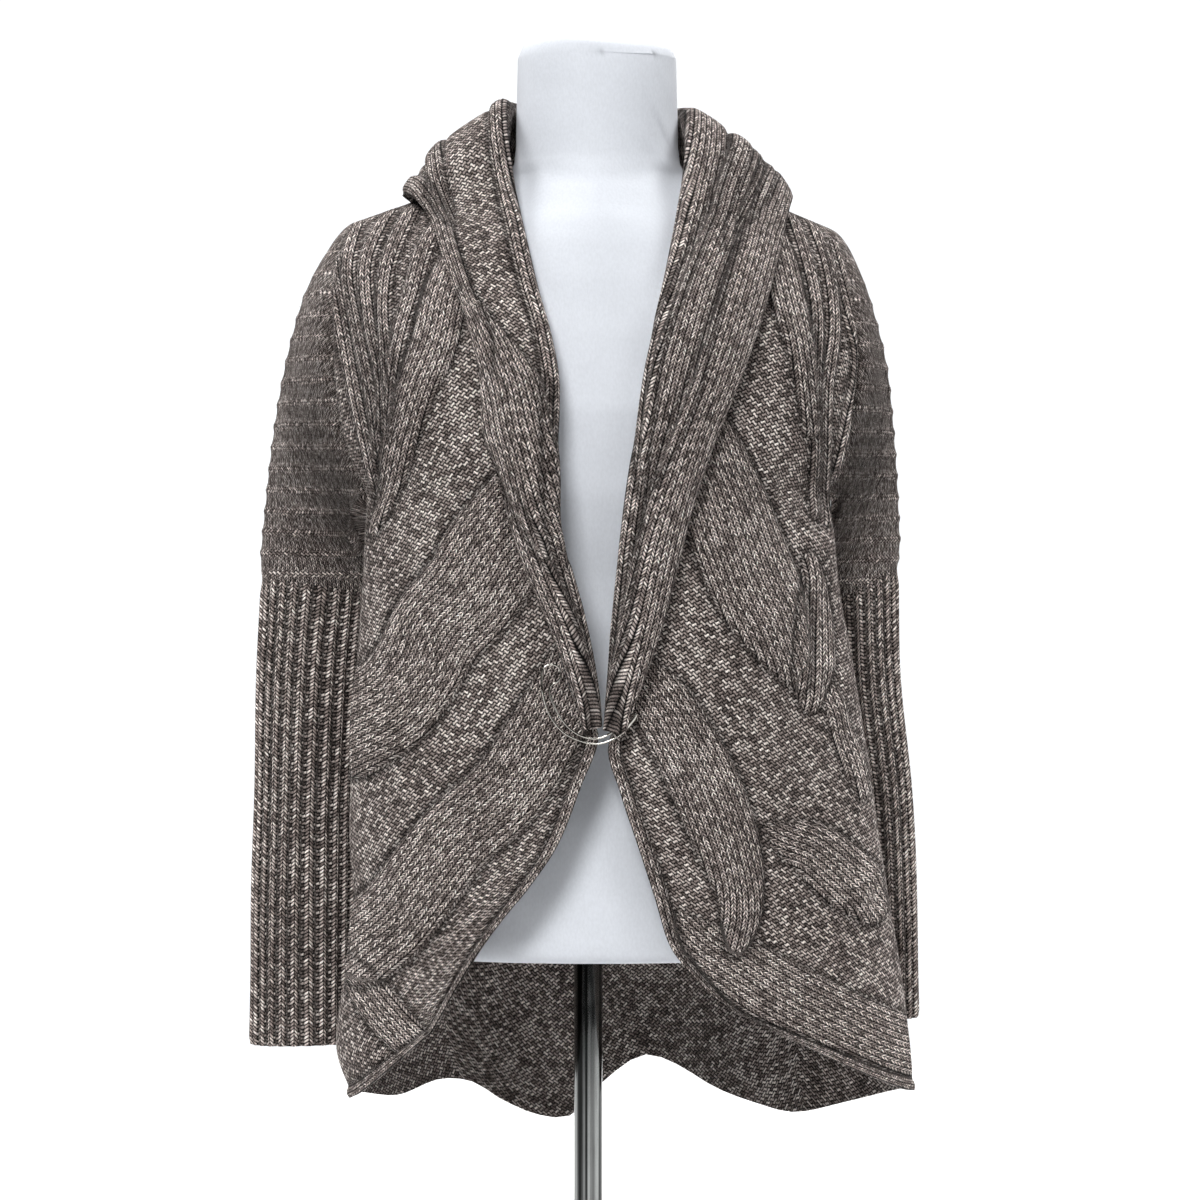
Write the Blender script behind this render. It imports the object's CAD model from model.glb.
"""Open cable cardigan with a shawl collar, worn by a limbless dress form on a stand.

Tables are in millimetres in the garment's own frame: the front faces -Y, +X is to
the viewer's right and +Z is up. Meshes are in metres.
"""

import functools
import math

import bmesh
import bpy
import numpy as np
from bpy.props import FloatProperty, FloatVectorProperty, IntProperty, PointerProperty
from bpy.types import Operator, Panel, PropertyGroup
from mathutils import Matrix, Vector


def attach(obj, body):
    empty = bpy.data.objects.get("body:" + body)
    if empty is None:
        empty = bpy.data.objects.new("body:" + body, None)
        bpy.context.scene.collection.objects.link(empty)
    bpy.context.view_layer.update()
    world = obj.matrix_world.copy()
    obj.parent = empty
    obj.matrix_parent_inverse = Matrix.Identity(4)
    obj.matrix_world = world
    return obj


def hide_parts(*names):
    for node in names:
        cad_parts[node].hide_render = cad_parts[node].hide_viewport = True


bl_info = {
    "name": "Cable Cardigan on a Dress Form",
    "version": (1, 0, 0),
    "blender": (4, 5, 0),
    "location": "View3D > Sidebar > Cardigan",
    "description": "Makes an open cable cardigan on a dress form, with a plain stage",
    "category": "Add Mesh",
}

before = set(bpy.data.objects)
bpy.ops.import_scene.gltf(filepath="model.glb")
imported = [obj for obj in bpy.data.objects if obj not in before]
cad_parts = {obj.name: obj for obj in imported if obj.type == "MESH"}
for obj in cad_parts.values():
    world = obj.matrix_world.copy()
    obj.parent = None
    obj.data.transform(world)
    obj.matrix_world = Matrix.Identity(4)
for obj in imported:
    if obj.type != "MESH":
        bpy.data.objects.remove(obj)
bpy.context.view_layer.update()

MM = 0.001
GARMENT_X = 6.5       # the garment hangs this far to the right of the post
WALL = 3.0
SEAM_GAP = 0.3
RIB_STITCHES = 1.45   # a rib is one column of smooth stitches and a part of the next
THINNEST = 0.9        # least thickness left under creases and furrows
UNDERARM_SHARE = 0.5  # the cloth is stretched thin at the point of an underarm
UNDERARM_REACH = 30.0

# ---------------------------------------------------------------- tables

NECK_X = 72.0
NECK_Z = 838.0
NECK_BACK_Y = 69.0
NECK_BACK_DROP = 6.0
SHOULDER_Y = 8.0
SHOULDER_SLOPE = {-1: 0.35, 1: 0.42}
ARMHOLE_ROWS = 6
# Columns: edge x, edge z, edge y on the front, edge y on the back, front x, front z.
PANEL_ROWS = {
    -1: [(181, 800, 8, 8, 72, 838), (189, 778, -20, 32, 74, 803),
         (191, 745, -40, 56, 64, 762), (190, 705, -50, 66, 53, 715),
         (187, 665, -47, 60, 44, 670), (179, 630, -34, 36, 43, 630),
         (168, 600, -16, -16, 42, 590), (167, 565, -31, -31, 36, 545),
         (169, 525, -35, -35, 30, 500), (172, 485, -35, -35, 17, 455),
         (176, 440, -34, -34, -1, 428), (177, 395, -33, -33, 12, 389),
         (178, 350, -32, -32, 27, 351), (175, 305, -30, -30, 47, 321),
         (178, 265, -26, -26, 64, 300), (186, 225, -22, -22, 81, 277),
         (188, 192, -18, -18, 98, 249), (177, 160, -14, -14, 116, 217)],
    1: [(174, 795, 8, 8, 72, 838), (180, 772, -18, 32, 76, 802),
        (184, 740, -38, 56, 67, 762), (188, 703, -48, 66, 55, 715),
        (184, 665, -46, 60, 46, 670), (180, 631, -34, 36, 40, 630),
        (170, 602, -16, -16, 36, 590), (171, 565, -31, -31, 32, 550),
        (175, 525, -35, -35, 30, 505), (183, 482, -35, -35, 25, 460),
        (190, 440, -34, -34, 8, 421), (197, 397, -33, -33, 16, 388),
        (203, 352, -32, -32, 29, 349), (210, 308, -30, -30, 41, 312),
        (217, 268, -28, -28, 51, 280), (222, 233, -28, -28, 66, 260),
        (226, 198, -24, -24, 83, 243), (229, 164, -18, -18, 101, 230)],
}
# Depth at the centre line against the drop below the shoulder: drop, front, back.
DEPTHS = [(0, 8, 8), (12, -22, 30), (30, -45, 46), (55, -66, 60), (85, -84, 71),
          (120, -98, 80), (165, -110, 87), (230, -117, 92), (320, -119, 95),
          (420, -121, 98), (520, -124, 104), (600, -122, 110), (690, -114, 116)]
FRONT_POWER = (2.6, 2.0)
BACK_POWER = (1.6, 1.6)
NAPE_RISE = 44.0
NAPE_FADE = 70.0
NAPE_WIDTH = 135.0
BACK_HEM = [(-177, 160), (-150, 151), (-121, 158), (-95, 154), (-75, 141), (-45, 128),
            (-18, 127), (4, 150), (35, 170), (60, 165), (90, 150), (120, 141),
            (150, 135), (187, 146), (229, 164)]
HEM_WAVES = [(-112, 42, 12), (-38, 40, -11), (42, 42, 15), (118, 42, -12)]
WAVE_TOP = 330.0

# Raised strands of a panel, as (height, [(x, z, half-width), ...]) seen from the front.
# Later ones are the shoulder's narrow ribs, which fan out from the underarm.
FRONT_STRANDS = {
    -1: [
        (4.6, [(-45, 592, 34), (-70, 559, 37), (-90, 527, 36), (-112, 502, 35),
               (-127, 474, 33), (-146, 450, 35), (-176, 432, 38)]),
        (4.6, [(-18, 470, 22), (-35, 434, 26), (-63, 389, 28), (-99, 355, 28),
               (-124, 322, 29), (-143, 297, 29), (-168, 272, 28)]),
        (3.2, [(-184, 264, 7), (-170, 250, 13), (-150, 228, 16), (-128, 206, 13),
               (-112, 190, 6)]),
        (2.6, [(-192, 767, 6.5), (-180, 714, 7), (-170.6, 669, 6.5), (-161.5, 628, 5.5),
               (-158, 600, 4)]),
        (2.4, [(-176.7, 797, 6), (-180.7, 760, 6), (-170.6, 714, 6), (-160.4, 669, 5),
               (-155, 628, 4)]),
        (2.5, [(-153, 808, 6), (-166.6, 767, 6.5), (-162.6, 722, 6), (-154.6, 686, 4.6),
               (-152.4, 645, 3.5)]),
        (2.6, [(-133, 815, 7), (-149.5, 769, 7), (-153.1, 736, 6), (-150, 697, 5),
               (-148, 655, 4)]),
        (2.8, [(-112, 800, 7), (-124, 775, 7.5), (-132, 742, 7.5), (-140, 714, 7),
               (-146, 681, 6), (-148, 645, 5)]),
        (3.4, [(-92, 780, 13), (-107.4, 742, 17), (-115.4, 706, 17), (-129.9, 669, 15),
               (-142, 628, 12), (-151, 593, 8), (-158, 572, 4)]),
    ],
    1: [
        (4.6, [(70, 640, 26), (84, 604, 31), (96, 572, 32), (110, 537, 32),
               (124, 506, 27), (136, 480, 17), (143, 462, 6)]),
        (4.6, [(28, 474, 13), (45, 450, 22), (62, 420, 24), (76, 392, 25),
               (88, 362, 24), (97, 336, 21), (101, 315, 17), (101, 296, 14),
               (98, 280, 9)]),
        (2.6, [(58, 296, 8), (76, 280, 17), (97, 266, 22), (123, 248, 24),
               (161, 226, 25), (205, 201, 27), (226, 190, 27)]),
        (3.2, [(150, 552, 5), (152, 530, 11), (153, 505, 15), (153, 480, 16),
               (152, 462, 13), (151, 450, 8)]),
        (3.3, [(120, 362, 3), (134, 354, 13), (150, 347, 19), (168, 332, 22),
               (184, 315, 20), (194, 302, 13)]),
        (1.8, [(163, 468, 4), (171, 440, 8), (182, 410, 9), (190, 382, 5)]),
        (2.4, [(172, 781, 6), (180.7, 735, 6.5), (188.7, 697, 6.5), (180.7, 655, 6),
               (172, 616, 5)]),
        (2.4, [(157.5, 803, 5.5), (167.7, 760, 5.5), (169.8, 718, 5.5),
               (163.7, 676, 5), (162.6, 624, 4.5), (164, 580, 4)]),
        (2.4, [(141, 812, 5.5), (153.1, 760, 6), (157.5, 726, 5.5), (155.3, 676, 5),
               (156, 624, 4.5), (156, 585, 4)]),
        (3.4, [(122, 800, 11), (131, 768, 13), (137, 739, 13), (145, 707, 11),
               (149, 676, 8), (152, 645, 6)]),
    ],
}
BACK_STRANDS = [
    (4.6, [(-185, 600, 26), (-120, 560, 30), (-60, 505, 32), (-5, 450, 32),
           (60, 400, 30), (130, 330, 30), (200, 270, 28)]),
    (4.6, [(120, 690, 28), (60, 640, 30), (-10, 590, 30), (-70, 560, 28)]),
    (4.6, [(-180, 420, 28), (-120, 370, 30), (-50, 330, 30), (20, 270, 30),
           (80, 215, 26)]),
    (4.6, [(60, 540, 24), (110, 500, 30), (170, 470, 30)]),
    (2.4, [(-150, 800, 6), (-160, 720, 6), (-162, 650, 5)]),
    (2.4, [(-128, 806, 6), (-142, 720, 6), (-152, 640, 5)]),
    (2.4, [(-104, 812, 6), (-122, 720, 7), (-142, 630, 5)]),
    (2.4, [(150, 800, 6), (162, 720, 6), (164, 650, 5)]),
    (2.4, [(128, 806, 6), (144, 720, 6), (154, 640, 5)]),
    (2.4, [(104, 808, 6), (126, 720, 7), (146, 630, 5)]),
]
# Places where a cable's turn pinches the cloth. Columns: x, z, depth, radius.
PUCKERS = {
    -1: [(-118, 565, 2.6, 4.5), (-115, 553, 2.2, 3.5), (-132, 403, 2.4, 4.5),
         (-37, 488, 2.4, 5), (-150, 450, 1.5, 5), (-128, 398, 1.5, 4)],
    1: [(133, 609, 2.6, 4.5), (131, 598, 1.8, 3.5), (95, 441, 2.6, 4.5),
        (92, 452, 1.6, 4), (166, 457, 2.6, 5), (196, 308, 2.4, 5), (134, 331, 2.4, 5),
        (158, 575, 2, 4)],
}
# Soft creases of the body: (x, z) to (x, z), half-width and height.
CREASES = {
    -1: [(-160, 600, -60, 660, 22, -2.2), (-165, 560, -90, 640, 16, 1.8),
         (-150, 470, -40, 520, 16, -2.0), (-120, 240, -70, 330, 18, 2.2),
         (-160, 330, -90, 200, 20, -2.2)],
    1: [(165, 590, 90, 660, 22, -2.2), (168, 560, 100, 480, 18, 2.0),
        (185, 430, 110, 330, 20, -2.2), (200, 330, 130, 250, 18, 2.2),
        (140, 460, 150, 380, 14, -2.0)],
    0: [(-170, 640, -40, 700, 24, -2.4), (170, 640, 40, 700, 24, -2.4),
        (-150, 520, 60, 560, 22, 2.2), (150, 440, -40, 480, 24, -2.4),
        (-120, 330, 130, 380, 24, 2.2), (-60, 240, 90, 280, 20, -2.0)],
}

# Collar rows: panel row, fold x, y, z, then free edge x, y, z. -4 is the centre back.
COLLAR_ROWS = {
    -1: [(-4, 0, 62, 890, 0, 90, 800), (-3, -26, 57, 891, -46, 86, 802),
         (-2, -47, 42, 893, -90, 70, 806), (-1, -61, 18, 894, -124, 44, 813),
         (0, -64, -8, 889, -142, 8, 821), (0.55, -64, -30, 860, -133, -24, 817),
         (1.1, -57, -55, 815, -121, None, 800), (1.8, -48, None, 774, -111, None, 772),
         (2.4, -41, None, 744, -102, None, 747), (3.1, -32, None, 711, -92, None, 722),
         (3.8, -26, None, 679, -82, None, 678), (4.6, -26, None, 643, -80, None, 640),
         (5.5, -26, None, 608, -70, None, 612), (6.4, -26, None, 573, -60, None, 575),
         (7, -19, None, 550, -47, None, 538), (8, -8, None, 509, -29, None, 496),
         (9, 1, None, 464, -15, None, 456), (10, 4, None, 424, -7, None, 424)],
    1: [(-4, 0, 62, 890, 0, 90, 800), (-3, 26, 57, 891, 46, 86, 802),
        (-2, 47, 42, 891, 90, 70, 806), (-1, 61, 18, 889, 124, 44, 811),
        (0, 63, -8, 880, 140, 8, 815), (0.55, 64, -30, 850, 138, -22, 806),
        (1.1, 58, -55, 808, 134, None, 786), (1.8, 51, None, 774, 128, None, 762),
        (2.4, 45, None, 746, 121, None, 736), (3.1, 39, None, 714, 111, None, 705),
        (3.8, 33, None, 682, 100, None, 676), (4.6, 27, None, 641, 86, None, 643),
        (5.5, 21, None, 602, 73, None, 607), (6.4, 17, None, 569, 63, None, 572),
        (7, 15, None, 549, 57, None, 548), (8, 11, None, 509, 45, None, 502),
        (9, 8, None, 466, 28, None, 456), (10, 6, None, 421, 16, None, 420)],
}
COLLAR_LAST_ROW = 9.75
COLLAR_LIFT_FOLD = 8.0
COLLAR_LIFT_MID = 15.0
COLLAR_LIFT_EDGE = 11.0
FOLD_RADIUS = 5.0
FOLD_WIDTH = 36.0
# Strands of the collar: height, then (panel row, place across from fold to edge, half).
COLLAR_ROLLS = {
    -1: [
        (2.4, [(-4, 0.05, 7), (9, 0.1, 5.5), (10, 0.1, 3)]),
        (3.6, [(-4, 0.92, 9), (1.0, 0.9, 8.5), (2.2, 0.9, 9), (3.3, 0.88, 11)]),
        (5.0, [(3.0, 0.85, 14), (3.8, 0.66, 25), (4.8, 0.5, 25), (5.8, 0.4, 21),
               (6.6, 0.25, 12)]),
        (3.8, [(6.2, 0.8, 9), (7.2, 0.72, 12), (9, 0.6, 10), (10, 0.6, 4)]),
        (3.2, [(-3.2, 0.5, 10), (-1.5, 0.62, 13), (0, 0.6, 10), (0.9, 0.78, 7)]),
    ],
    1: [
        (4.0, [(-4, 0.12, 12), (0, 0.17, 17), (1.1, 0.14, 13), (2.4, 0.1, 8),
               (3.4, 0.05, 5), (6, 0.1, 7), (9, 0.12, 5), (10, 0.1, 3)]),
        (5.2, [(-4, 0.42, 14), (0, 0.48, 15), (1.1, 0.42, 15), (2.2, 0.32, 17),
               (3.4, 0.28, 19), (4.4, 0.27, 17), (5.2, 0.24, 9)]),
        (5.0, [(-0.8, 0.6, 9), (0.6, 0.62, 10), (1.3, 0.5, 7)]),
        (7.6, [(-4, 0.82, 18), (0, 0.82, 19), (1.1, 0.8, 20), (2.4, 0.77, 21),
               (4.0, 0.74, 21), (5.5, 0.66, 19), (7, 0.6, 17), (9, 0.55, 11),
               (10, 0.5, 4)]),
    ],
}

# Sleeve sections: z, centre x, centre y, half-width, half-thickness, turn in degrees.
SLEEVES = {
    -1: [(540, -210, 31, 38, 23, 16), (470, -214, 31, 37, 21, 20),
         (380, -217, 31, 36, 20, 20), (290, -219, 30, 36, 20, 18),
         (192, -220, 28, 36, 20, 14)],
    1: [(548, 190, 40, 33, 23, 24), (470, 190, 47, 37, 21, 38),
        (380, 200, 50, 37, 20, 38), (290, 204, 52, 37, 20, 40),
        (210, 206, 54, 37, 20, 40)],
}
SLEEVE_LEAVE = {-1: 52.0, 1: 42.0}
SLEEVE_SEAM_DROP = {-1: 12.0, 1: 40.0}
SLEEVE_SUPERELLIPSE = 2.2
SLEEVE_RIBS = 24
INNER_SHADE = 0.55   # shade on the inner face, as in a furrow that is half deep
GARTER_PITCH = 15.6   # from one purl ridge of an upper sleeve to the next
# Creases of an upper sleeve: round it from the outer side towards the front, then
# the share of its length where it starts and ends, half-width and height.
SLEEVE_CREASES = {
    -1: [(-0.10, 0.28, -0.02, 0.98, 9, 2.6), (0.08, 0.3, 0.14, 0.95, 12, -2.4),
         (-0.30, 0.4, -0.34, 1.0, 14, -2.2), (0.5, 0.06, 0.5, 0.98, 22, 7.6)],
    1: [(0.10, 0.3, 0.04, 0.98, 9, 2.2), (0.22, 0.35, 0.26, 0.95, 10, -2.6),
        (-0.2, 0.3, -0.16, 0.9, 14, -2.0), (0.45, 0.3, 0.42, 0.9, 12, 2.2)],
}

# Dress form: z, half-width, front depth, back depth, roundness power.
FORM_SECTIONS = [
    (936, 48, 42, 42, 2.2), (934, 55, 49, 49, 2.2), (926, 58.5, 52, 52, 2.2),
    (886, 59.5, 53, 53, 2.1), (858, 60, 53, 54, 2.0), (845, 61.5, 54, 55, 1.9),
    (837, 66, 57, 58, 1.75), (829, 87, 60, 63, 1.5), (819, 111, 67, 69, 1.35),
    (808, 138, 73, 73, 1.3), (797, 153, 79, 77, 1.45), (782, 163, 85, 80, 1.6),
    (755, 164, 92, 83, 1.9), (715, 158, 98, 84, 2.1), (660, 148, 101, 83, 2.2),
    (600, 136, 95, 78, 2.2), (540, 124, 84, 73, 2.2), (480, 118, 79, 71, 2.2),
    (420, 124, 82, 77, 2.2), (360, 136, 88, 84, 2.2), (310, 144, 91, 88, 2.2),
    (275, 145, 91, 89, 2.2), (265, 142, 88, 86, 2.2), (262, 134, 80, 78, 2.2),
]
# Creases of the form's cover beside the neck: (x, z) to (x, z), half-width and height.
FORM_CREASES = [(28, 905, 62, 846, 2.6, 1.1), (35, 892, 60, 842, 2.4, -1.0),
                (44, 915, 60, 880, 2.2, 0.8), (20, 872, 58, 836, 3.0, 0.7),
                (-54, 925, 40, 921, 5.0, -0.9), (-40, 838, -58, 800, 4.0, 0.6)]
FORM_CLEARANCE = 4.5
FORM_SHOULDER_CLEARANCE = 0.9
FORM_UNDERSIDE = 262.0

POST_RADIUS = 10.5
BASE_RADIUS = 140.0
BASE_HEIGHT = 14.0

# Pin seen from the front. Columns: x, z.
PIN_RADIUS = 0.75
PIN_COIL_RADIUS = 6.8
PIN_COIL_PITCH = 2.5
PIN_COIL_ANGLES = (-80.0, 195.0)
PIN_COIL_STEPS = 48
PIN_COIL_CENTRE = (-32.0, 471.0)
PIN_ARM = [(-38.6, 461), (-35, 446), (-30, 437), (-23.5, 430), (-15.5, 425.5),
           (-6, 422.5), (2, 422), (12, 425.5), (20, 431.5), (25.5, 438.5)]
PIN_BACK_ARM = [(25.5, 441.5), (20.5, 438.5), (16.5, 434.6), (9, 429), (1.5, 425.8),
                (-6, 426), (-14, 429), (-20.5, 434), (-26, 441), (-30.5, 450),
                (-33.4, 457), (-33.2, 461.5)]
PIN_CLEARANCE = 1.6
CAD_STRAND_HEIGHT = 4.0

# Single plies that the pin's point has drawn up, as (x, z, x, z).
PIN_YARNS = [(9, 432, 16, 424), (13, 437, 19, 428), (17, 440, 24, 433)]
PIN_CLASP = [(20.5, 433.4), (23.2, 436.8), (25.6, 440.2), (27.4, 443.4)]

# Fineness of the meshes, as steps inside one step of the tables.
INNER_STEP = 3        # a thin shell's inner face keeps one point in three
UPPER_STEPS = 16
LOWER_STEPS = 16
FRONT_COLUMNS = 96
BACK_SHOULDER_COLUMNS = 36
BACK_NECK_COLUMNS = 72
COLLAR_BACK_STEPS = 44
COLLAR_CELLS = (5, 10, 10, 26, 30)
UPPER_SLEEVE_ROWS = 110
LOWER_SLEEVE_ROWS = 120


# Lamps: name, place, point aimed at, size, share of the key's power, degrees of spread.
LIGHTS = [
    ("key_softbox", (-0.55, -2.1, 1.95), (0, 0, 0.5), 0.8, 1.0, 70),
    ("top_softbox", (0.15, -1.1, 2.4), (0, -0.1, 0.6), 0.6, 0.25, 70),
    ("fill_softbox", (1.6, -2.4, 0.9), (0, 0, 0.5), 1.2, 0.12, 70),
    ("floor_light_left", (-1.5, 0.9, 2.4), (-0.7, 0.8, 0.0), 1.2, 4.8, 120),
    ("floor_light_right", (1.5, 0.9, 2.4), (0.7, 0.8, 0.0), 1.2, 4.8, 120),
    ("rear_softbox", (0.9, 2.4, 1.9), (0, 0, 0.5), 0.8, 0.6, 70),
]
FLOOR_RADIUS = 1.5    # metres
FLOOR_SIDES = 96
CAMERA_X = 0.0087
CAMERA_Z = 0.523


# ---------------------------------------------------------------- settings

def linear(code):
    """Turn an sRGB hex colour into linear red, green and blue."""
    values = [int(code[place:place + 2], 16) / 255 for place in (1, 3, 5)]
    return tuple(v / 12.92 if v <= 0.04045 else ((v + 0.055) / 1.055) ** 2.4
                 for v in values)


class KnitSettings(PropertyGroup):
    """Sizes and colours of the knitted wool."""
    wale: FloatProperty(name="Stitch Width", description="Width of one stitch",
                        default=0.0042, min=0.001, unit="LENGTH")
    course: FloatProperty(name="Stitch Height", description="Height of one stitch",
                          default=0.0027, min=0.001, unit="LENGTH")
    relief: FloatProperty(name="Stitch Relief", description="Depth between the yarns",
                          default=0.0015, min=0.0, unit="LENGTH")
    dark: FloatVectorProperty(name="Dark Fibre", description="Darkest fibre of the yarn",
                              default=linear("#231E1C"), subtype="COLOR", min=0, max=1)
    middle: FloatVectorProperty(name="Yarn", description="Usual tone of the yarn",
                                default=linear("#8D817C"), subtype="COLOR", min=0, max=1)
    light: FloatVectorProperty(name="Light Fibre", description="Lightest fibre of the yarn",
                               default=linear("#F0E7E1"), subtype="COLOR", min=0, max=1)
    fibres: IntProperty(name="Loose Fibres", description="Loose fibres on each piece",
                        default=1100, min=0)


class StandSettings(PropertyGroup):
    """Colours of the dress form, its stand and the pin."""
    jersey: FloatVectorProperty(name="Form Cover", description="Jersey of the dress form",
                                default=linear("#E3E7EE"), subtype="COLOR", min=0, max=1)
    chrome: FloatVectorProperty(name="Chrome", description="Plating of the stand",
                                default=linear("#A3A5A4"), subtype="COLOR", min=0, max=1)
    pin: FloatVectorProperty(name="Pin", description="Wire of the pin",
                             default=linear("#D9D6CE"), subtype="COLOR", min=0, max=1)


class StageSettings(PropertyGroup):
    """Floor, light and camera."""
    floor: FloatVectorProperty(name="Floor", description="Paper of the floor",
                               default=linear("#FAFAFA"), subtype="COLOR", min=0, max=1)
    key: FloatProperty(name="Key Light", description="Power of the main light",
                       default=7.0, min=0.0, unit="POWER")
    sky: FloatProperty(name="Surrounding Light", description="Strength of the white room",
                       default=0.03, min=0.0)
    distance: FloatProperty(name="Camera Distance", description="From the garment's middle",
                            default=2.6, min=0.5, unit="LENGTH")
    view: FloatProperty(name="View Width", description="What the camera sees at the garment",
                        default=0.888, min=0.1, unit="LENGTH")


# ---------------------------------------------------------------- curves and surfaces

def curve_value(table, place, column):
    """Read a table's column at places in its first column, on a smooth curve."""
    rows = sorted(table, key=lambda row: row[0])
    places = np.array([row[0] for row in rows], float)
    values = np.array([row[column] for row in rows], float)
    place = np.clip(np.asarray(place, float), places[0], places[-1])
    index = np.clip(np.searchsorted(places, place, side="right") - 1, 0, len(rows) - 2)
    order = np.arange(len(rows))
    low = np.maximum(order - 1, 0)
    high = np.minimum(order + 1, len(rows) - 1)
    slopes = (values[high] - values[low]) / (places[high] - places[low])
    span = places[index + 1] - places[index]
    part = (place - places[index]) / span
    return ((2 * part**3 - 3 * part**2 + 1) * values[index]
            + (part**3 - 2 * part**2 + part) * slopes[index] * span
            + (3 * part**2 - 2 * part**3) * values[index + 1]
            + (part**3 - part**2) * slopes[index + 1] * span)


def smooth_step(low, high, value):
    """Rise from 0 at low to 1 at high without a corner."""
    part = np.clip((value - low) / (high - low), 0.0, 1.0)
    return part * part * (3 - 2 * part)


def unit(vector):
    """Scale a vector, or each vector of an array, to length 1."""
    length = np.linalg.norm(vector, axis=-1, keepdims=True)
    return vector / np.maximum(length, 1e-9)


def spline(points, cells):
    """Smooth curve through points, with a number of steps to each stretch."""
    points = [np.array(point, float) for point in points]
    result = []
    for index in range(len(points) - 1):
        first = points[index]
        second = points[index + 1]
        span = np.linalg.norm(second - first)
        before = points[index - 1] if index else first
        after = points[index + 2] if index + 2 < len(points) else second
        out = (second - before) / (span + np.linalg.norm(first - before)) * span
        into = (after - first) / (span + np.linalg.norm(after - second)) * span
        part = (np.arange(cells[index]) / cells[index])[:, None]
        result.append((2 * part**3 - 3 * part**2 + 1) * first
                      + (part**3 - 2 * part**2 + part) * out
                      + (3 * part**2 - 2 * part**3) * second
                      + (part**3 - part**2) * into)
    result.append(points[-1][None])
    return np.concatenate(result)


def run_length(points, axis=0):
    """Length along a grid's lines from their first point."""
    steps = np.linalg.norm(np.diff(points, axis=axis), axis=-1)
    start = np.zeros_like(np.take(steps, [0], axis=axis))
    return np.concatenate([start, np.cumsum(steps, axis=axis)], axis=axis)


def shoulder_line(side, x):
    """Height of the shoulder line over a place on one side."""
    return NECK_Z - SHOULDER_SLOPE[side] * (np.abs(x) - NECK_X)


def edge_value(side, z, column):
    """Read the panel table by height: 1 is the edge's x, 2 its front y, 3 its back y."""
    rows = [(-row[1], row[0], row[2], row[3]) for row in PANEL_ROWS[side]]
    whole = curve_value(rows, -z, column)
    if column == 1:
        return whole
    below = curve_value(rows[ARMHOLE_ROWS:], -z, column)
    return np.where(z <= PANEL_ROWS[side][ARMHOLE_ROWS][1], below, whole)


def bulge(ratio, powers):
    """Roundness of a section: 1 at the middle and 0 at its edge."""
    inside = 1 - np.minimum(np.abs(ratio), 1.0) ** powers[0]
    return np.maximum(inside, 0.0) ** (1 / powers[1])


def front_y(side, x, z):
    """Depth of the front's inner surface."""
    drop = np.maximum(shoulder_line(side, x) - z, 0.0)
    edge = edge_value(side, z, 2)
    middle = curve_value(DEPTHS, drop, 1)
    return edge + (middle - edge) * bulge(x / edge_value(side, z, 1), FRONT_POWER)


def back_y(x, z):
    """Depth of the back's inner surface."""
    depths = []
    for side in (-1, 1):
        drop = np.maximum(shoulder_line(side, x) - z, 0.0)
        edge = edge_value(side, z, 3)
        middle = curve_value(DEPTHS, drop, 2)
        nape = NAPE_RISE * np.exp(-drop / NAPE_FADE)
        nape = nape * np.maximum(0.0, 1 - (x / NAPE_WIDTH) ** 2) ** 2
        round_share = bulge(x / edge_value(side, z, 1), BACK_POWER)
        depths.append(edge + (middle - edge) * round_share + nape)
    fade = smooth_step(WAVE_TOP, 170.0, z)
    wave = sum(height * np.exp(-((x - centre) / half) ** 2 * 1.6)
               for centre, half, height in HEM_WAVES)
    return np.where(x < 0, depths[0], depths[1]) + wave * fade


def row_places():
    """Panel rows of the fine meshes."""
    upper = np.arange(ARMHOLE_ROWS * UPPER_STEPS) / UPPER_STEPS
    last = len(PANEL_ROWS[1]) - 1
    lower = np.linspace(ARMHOLE_ROWS, last, (last - ARMHOLE_ROWS) * LOWER_STEPS + 1)
    return np.concatenate([upper, lower])


def indexed(side):
    """Panel table with its row numbers."""
    return [(index, *values) for index, values in enumerate(PANEL_ROWS[side])]


def edge_points(side, rows, depth_column):
    """Points of a panel's outer edge."""
    rows = np.asarray(rows, float)
    table = indexed(side)
    above = curve_value(table, rows, depth_column + 1)
    seam = curve_value(table[ARMHOLE_ROWS:], rows, depth_column + 1)
    return np.stack([side * curve_value(table, rows, 1),
                     np.where(rows >= ARMHOLE_ROWS, seam, above),
                     curve_value(table, rows, 2)], axis=-1)


# ---------------------------------------------------------------- grids

def front_grid(side):
    """Inner points of a front, rows from the shoulder down, columns from the side."""
    rows = row_places()
    edge = edge_points(side, rows, 2)[:, None]
    free_x = side * curve_value(indexed(side), rows, 5)[:, None]
    free_z = curve_value(indexed(side), rows, 6)[:, None]
    part = (np.arange(1, FRONT_COLUMNS + 1) / FRONT_COLUMNS)[None]
    curved = np.where(rows[:, None] > 0, 1 - np.cos(part * math.pi / 2), part)
    across = 0.65 * curved + 0.35 * part
    x = edge[..., 0] + (free_x - edge[..., 0]) * across
    z = edge[..., 2] + (free_z - edge[..., 2]) * across
    y = front_y(side, x, z)
    y[0] = SHOULDER_Y
    return np.concatenate([edge, np.stack([x, y, z], axis=-1)], axis=1)


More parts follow.
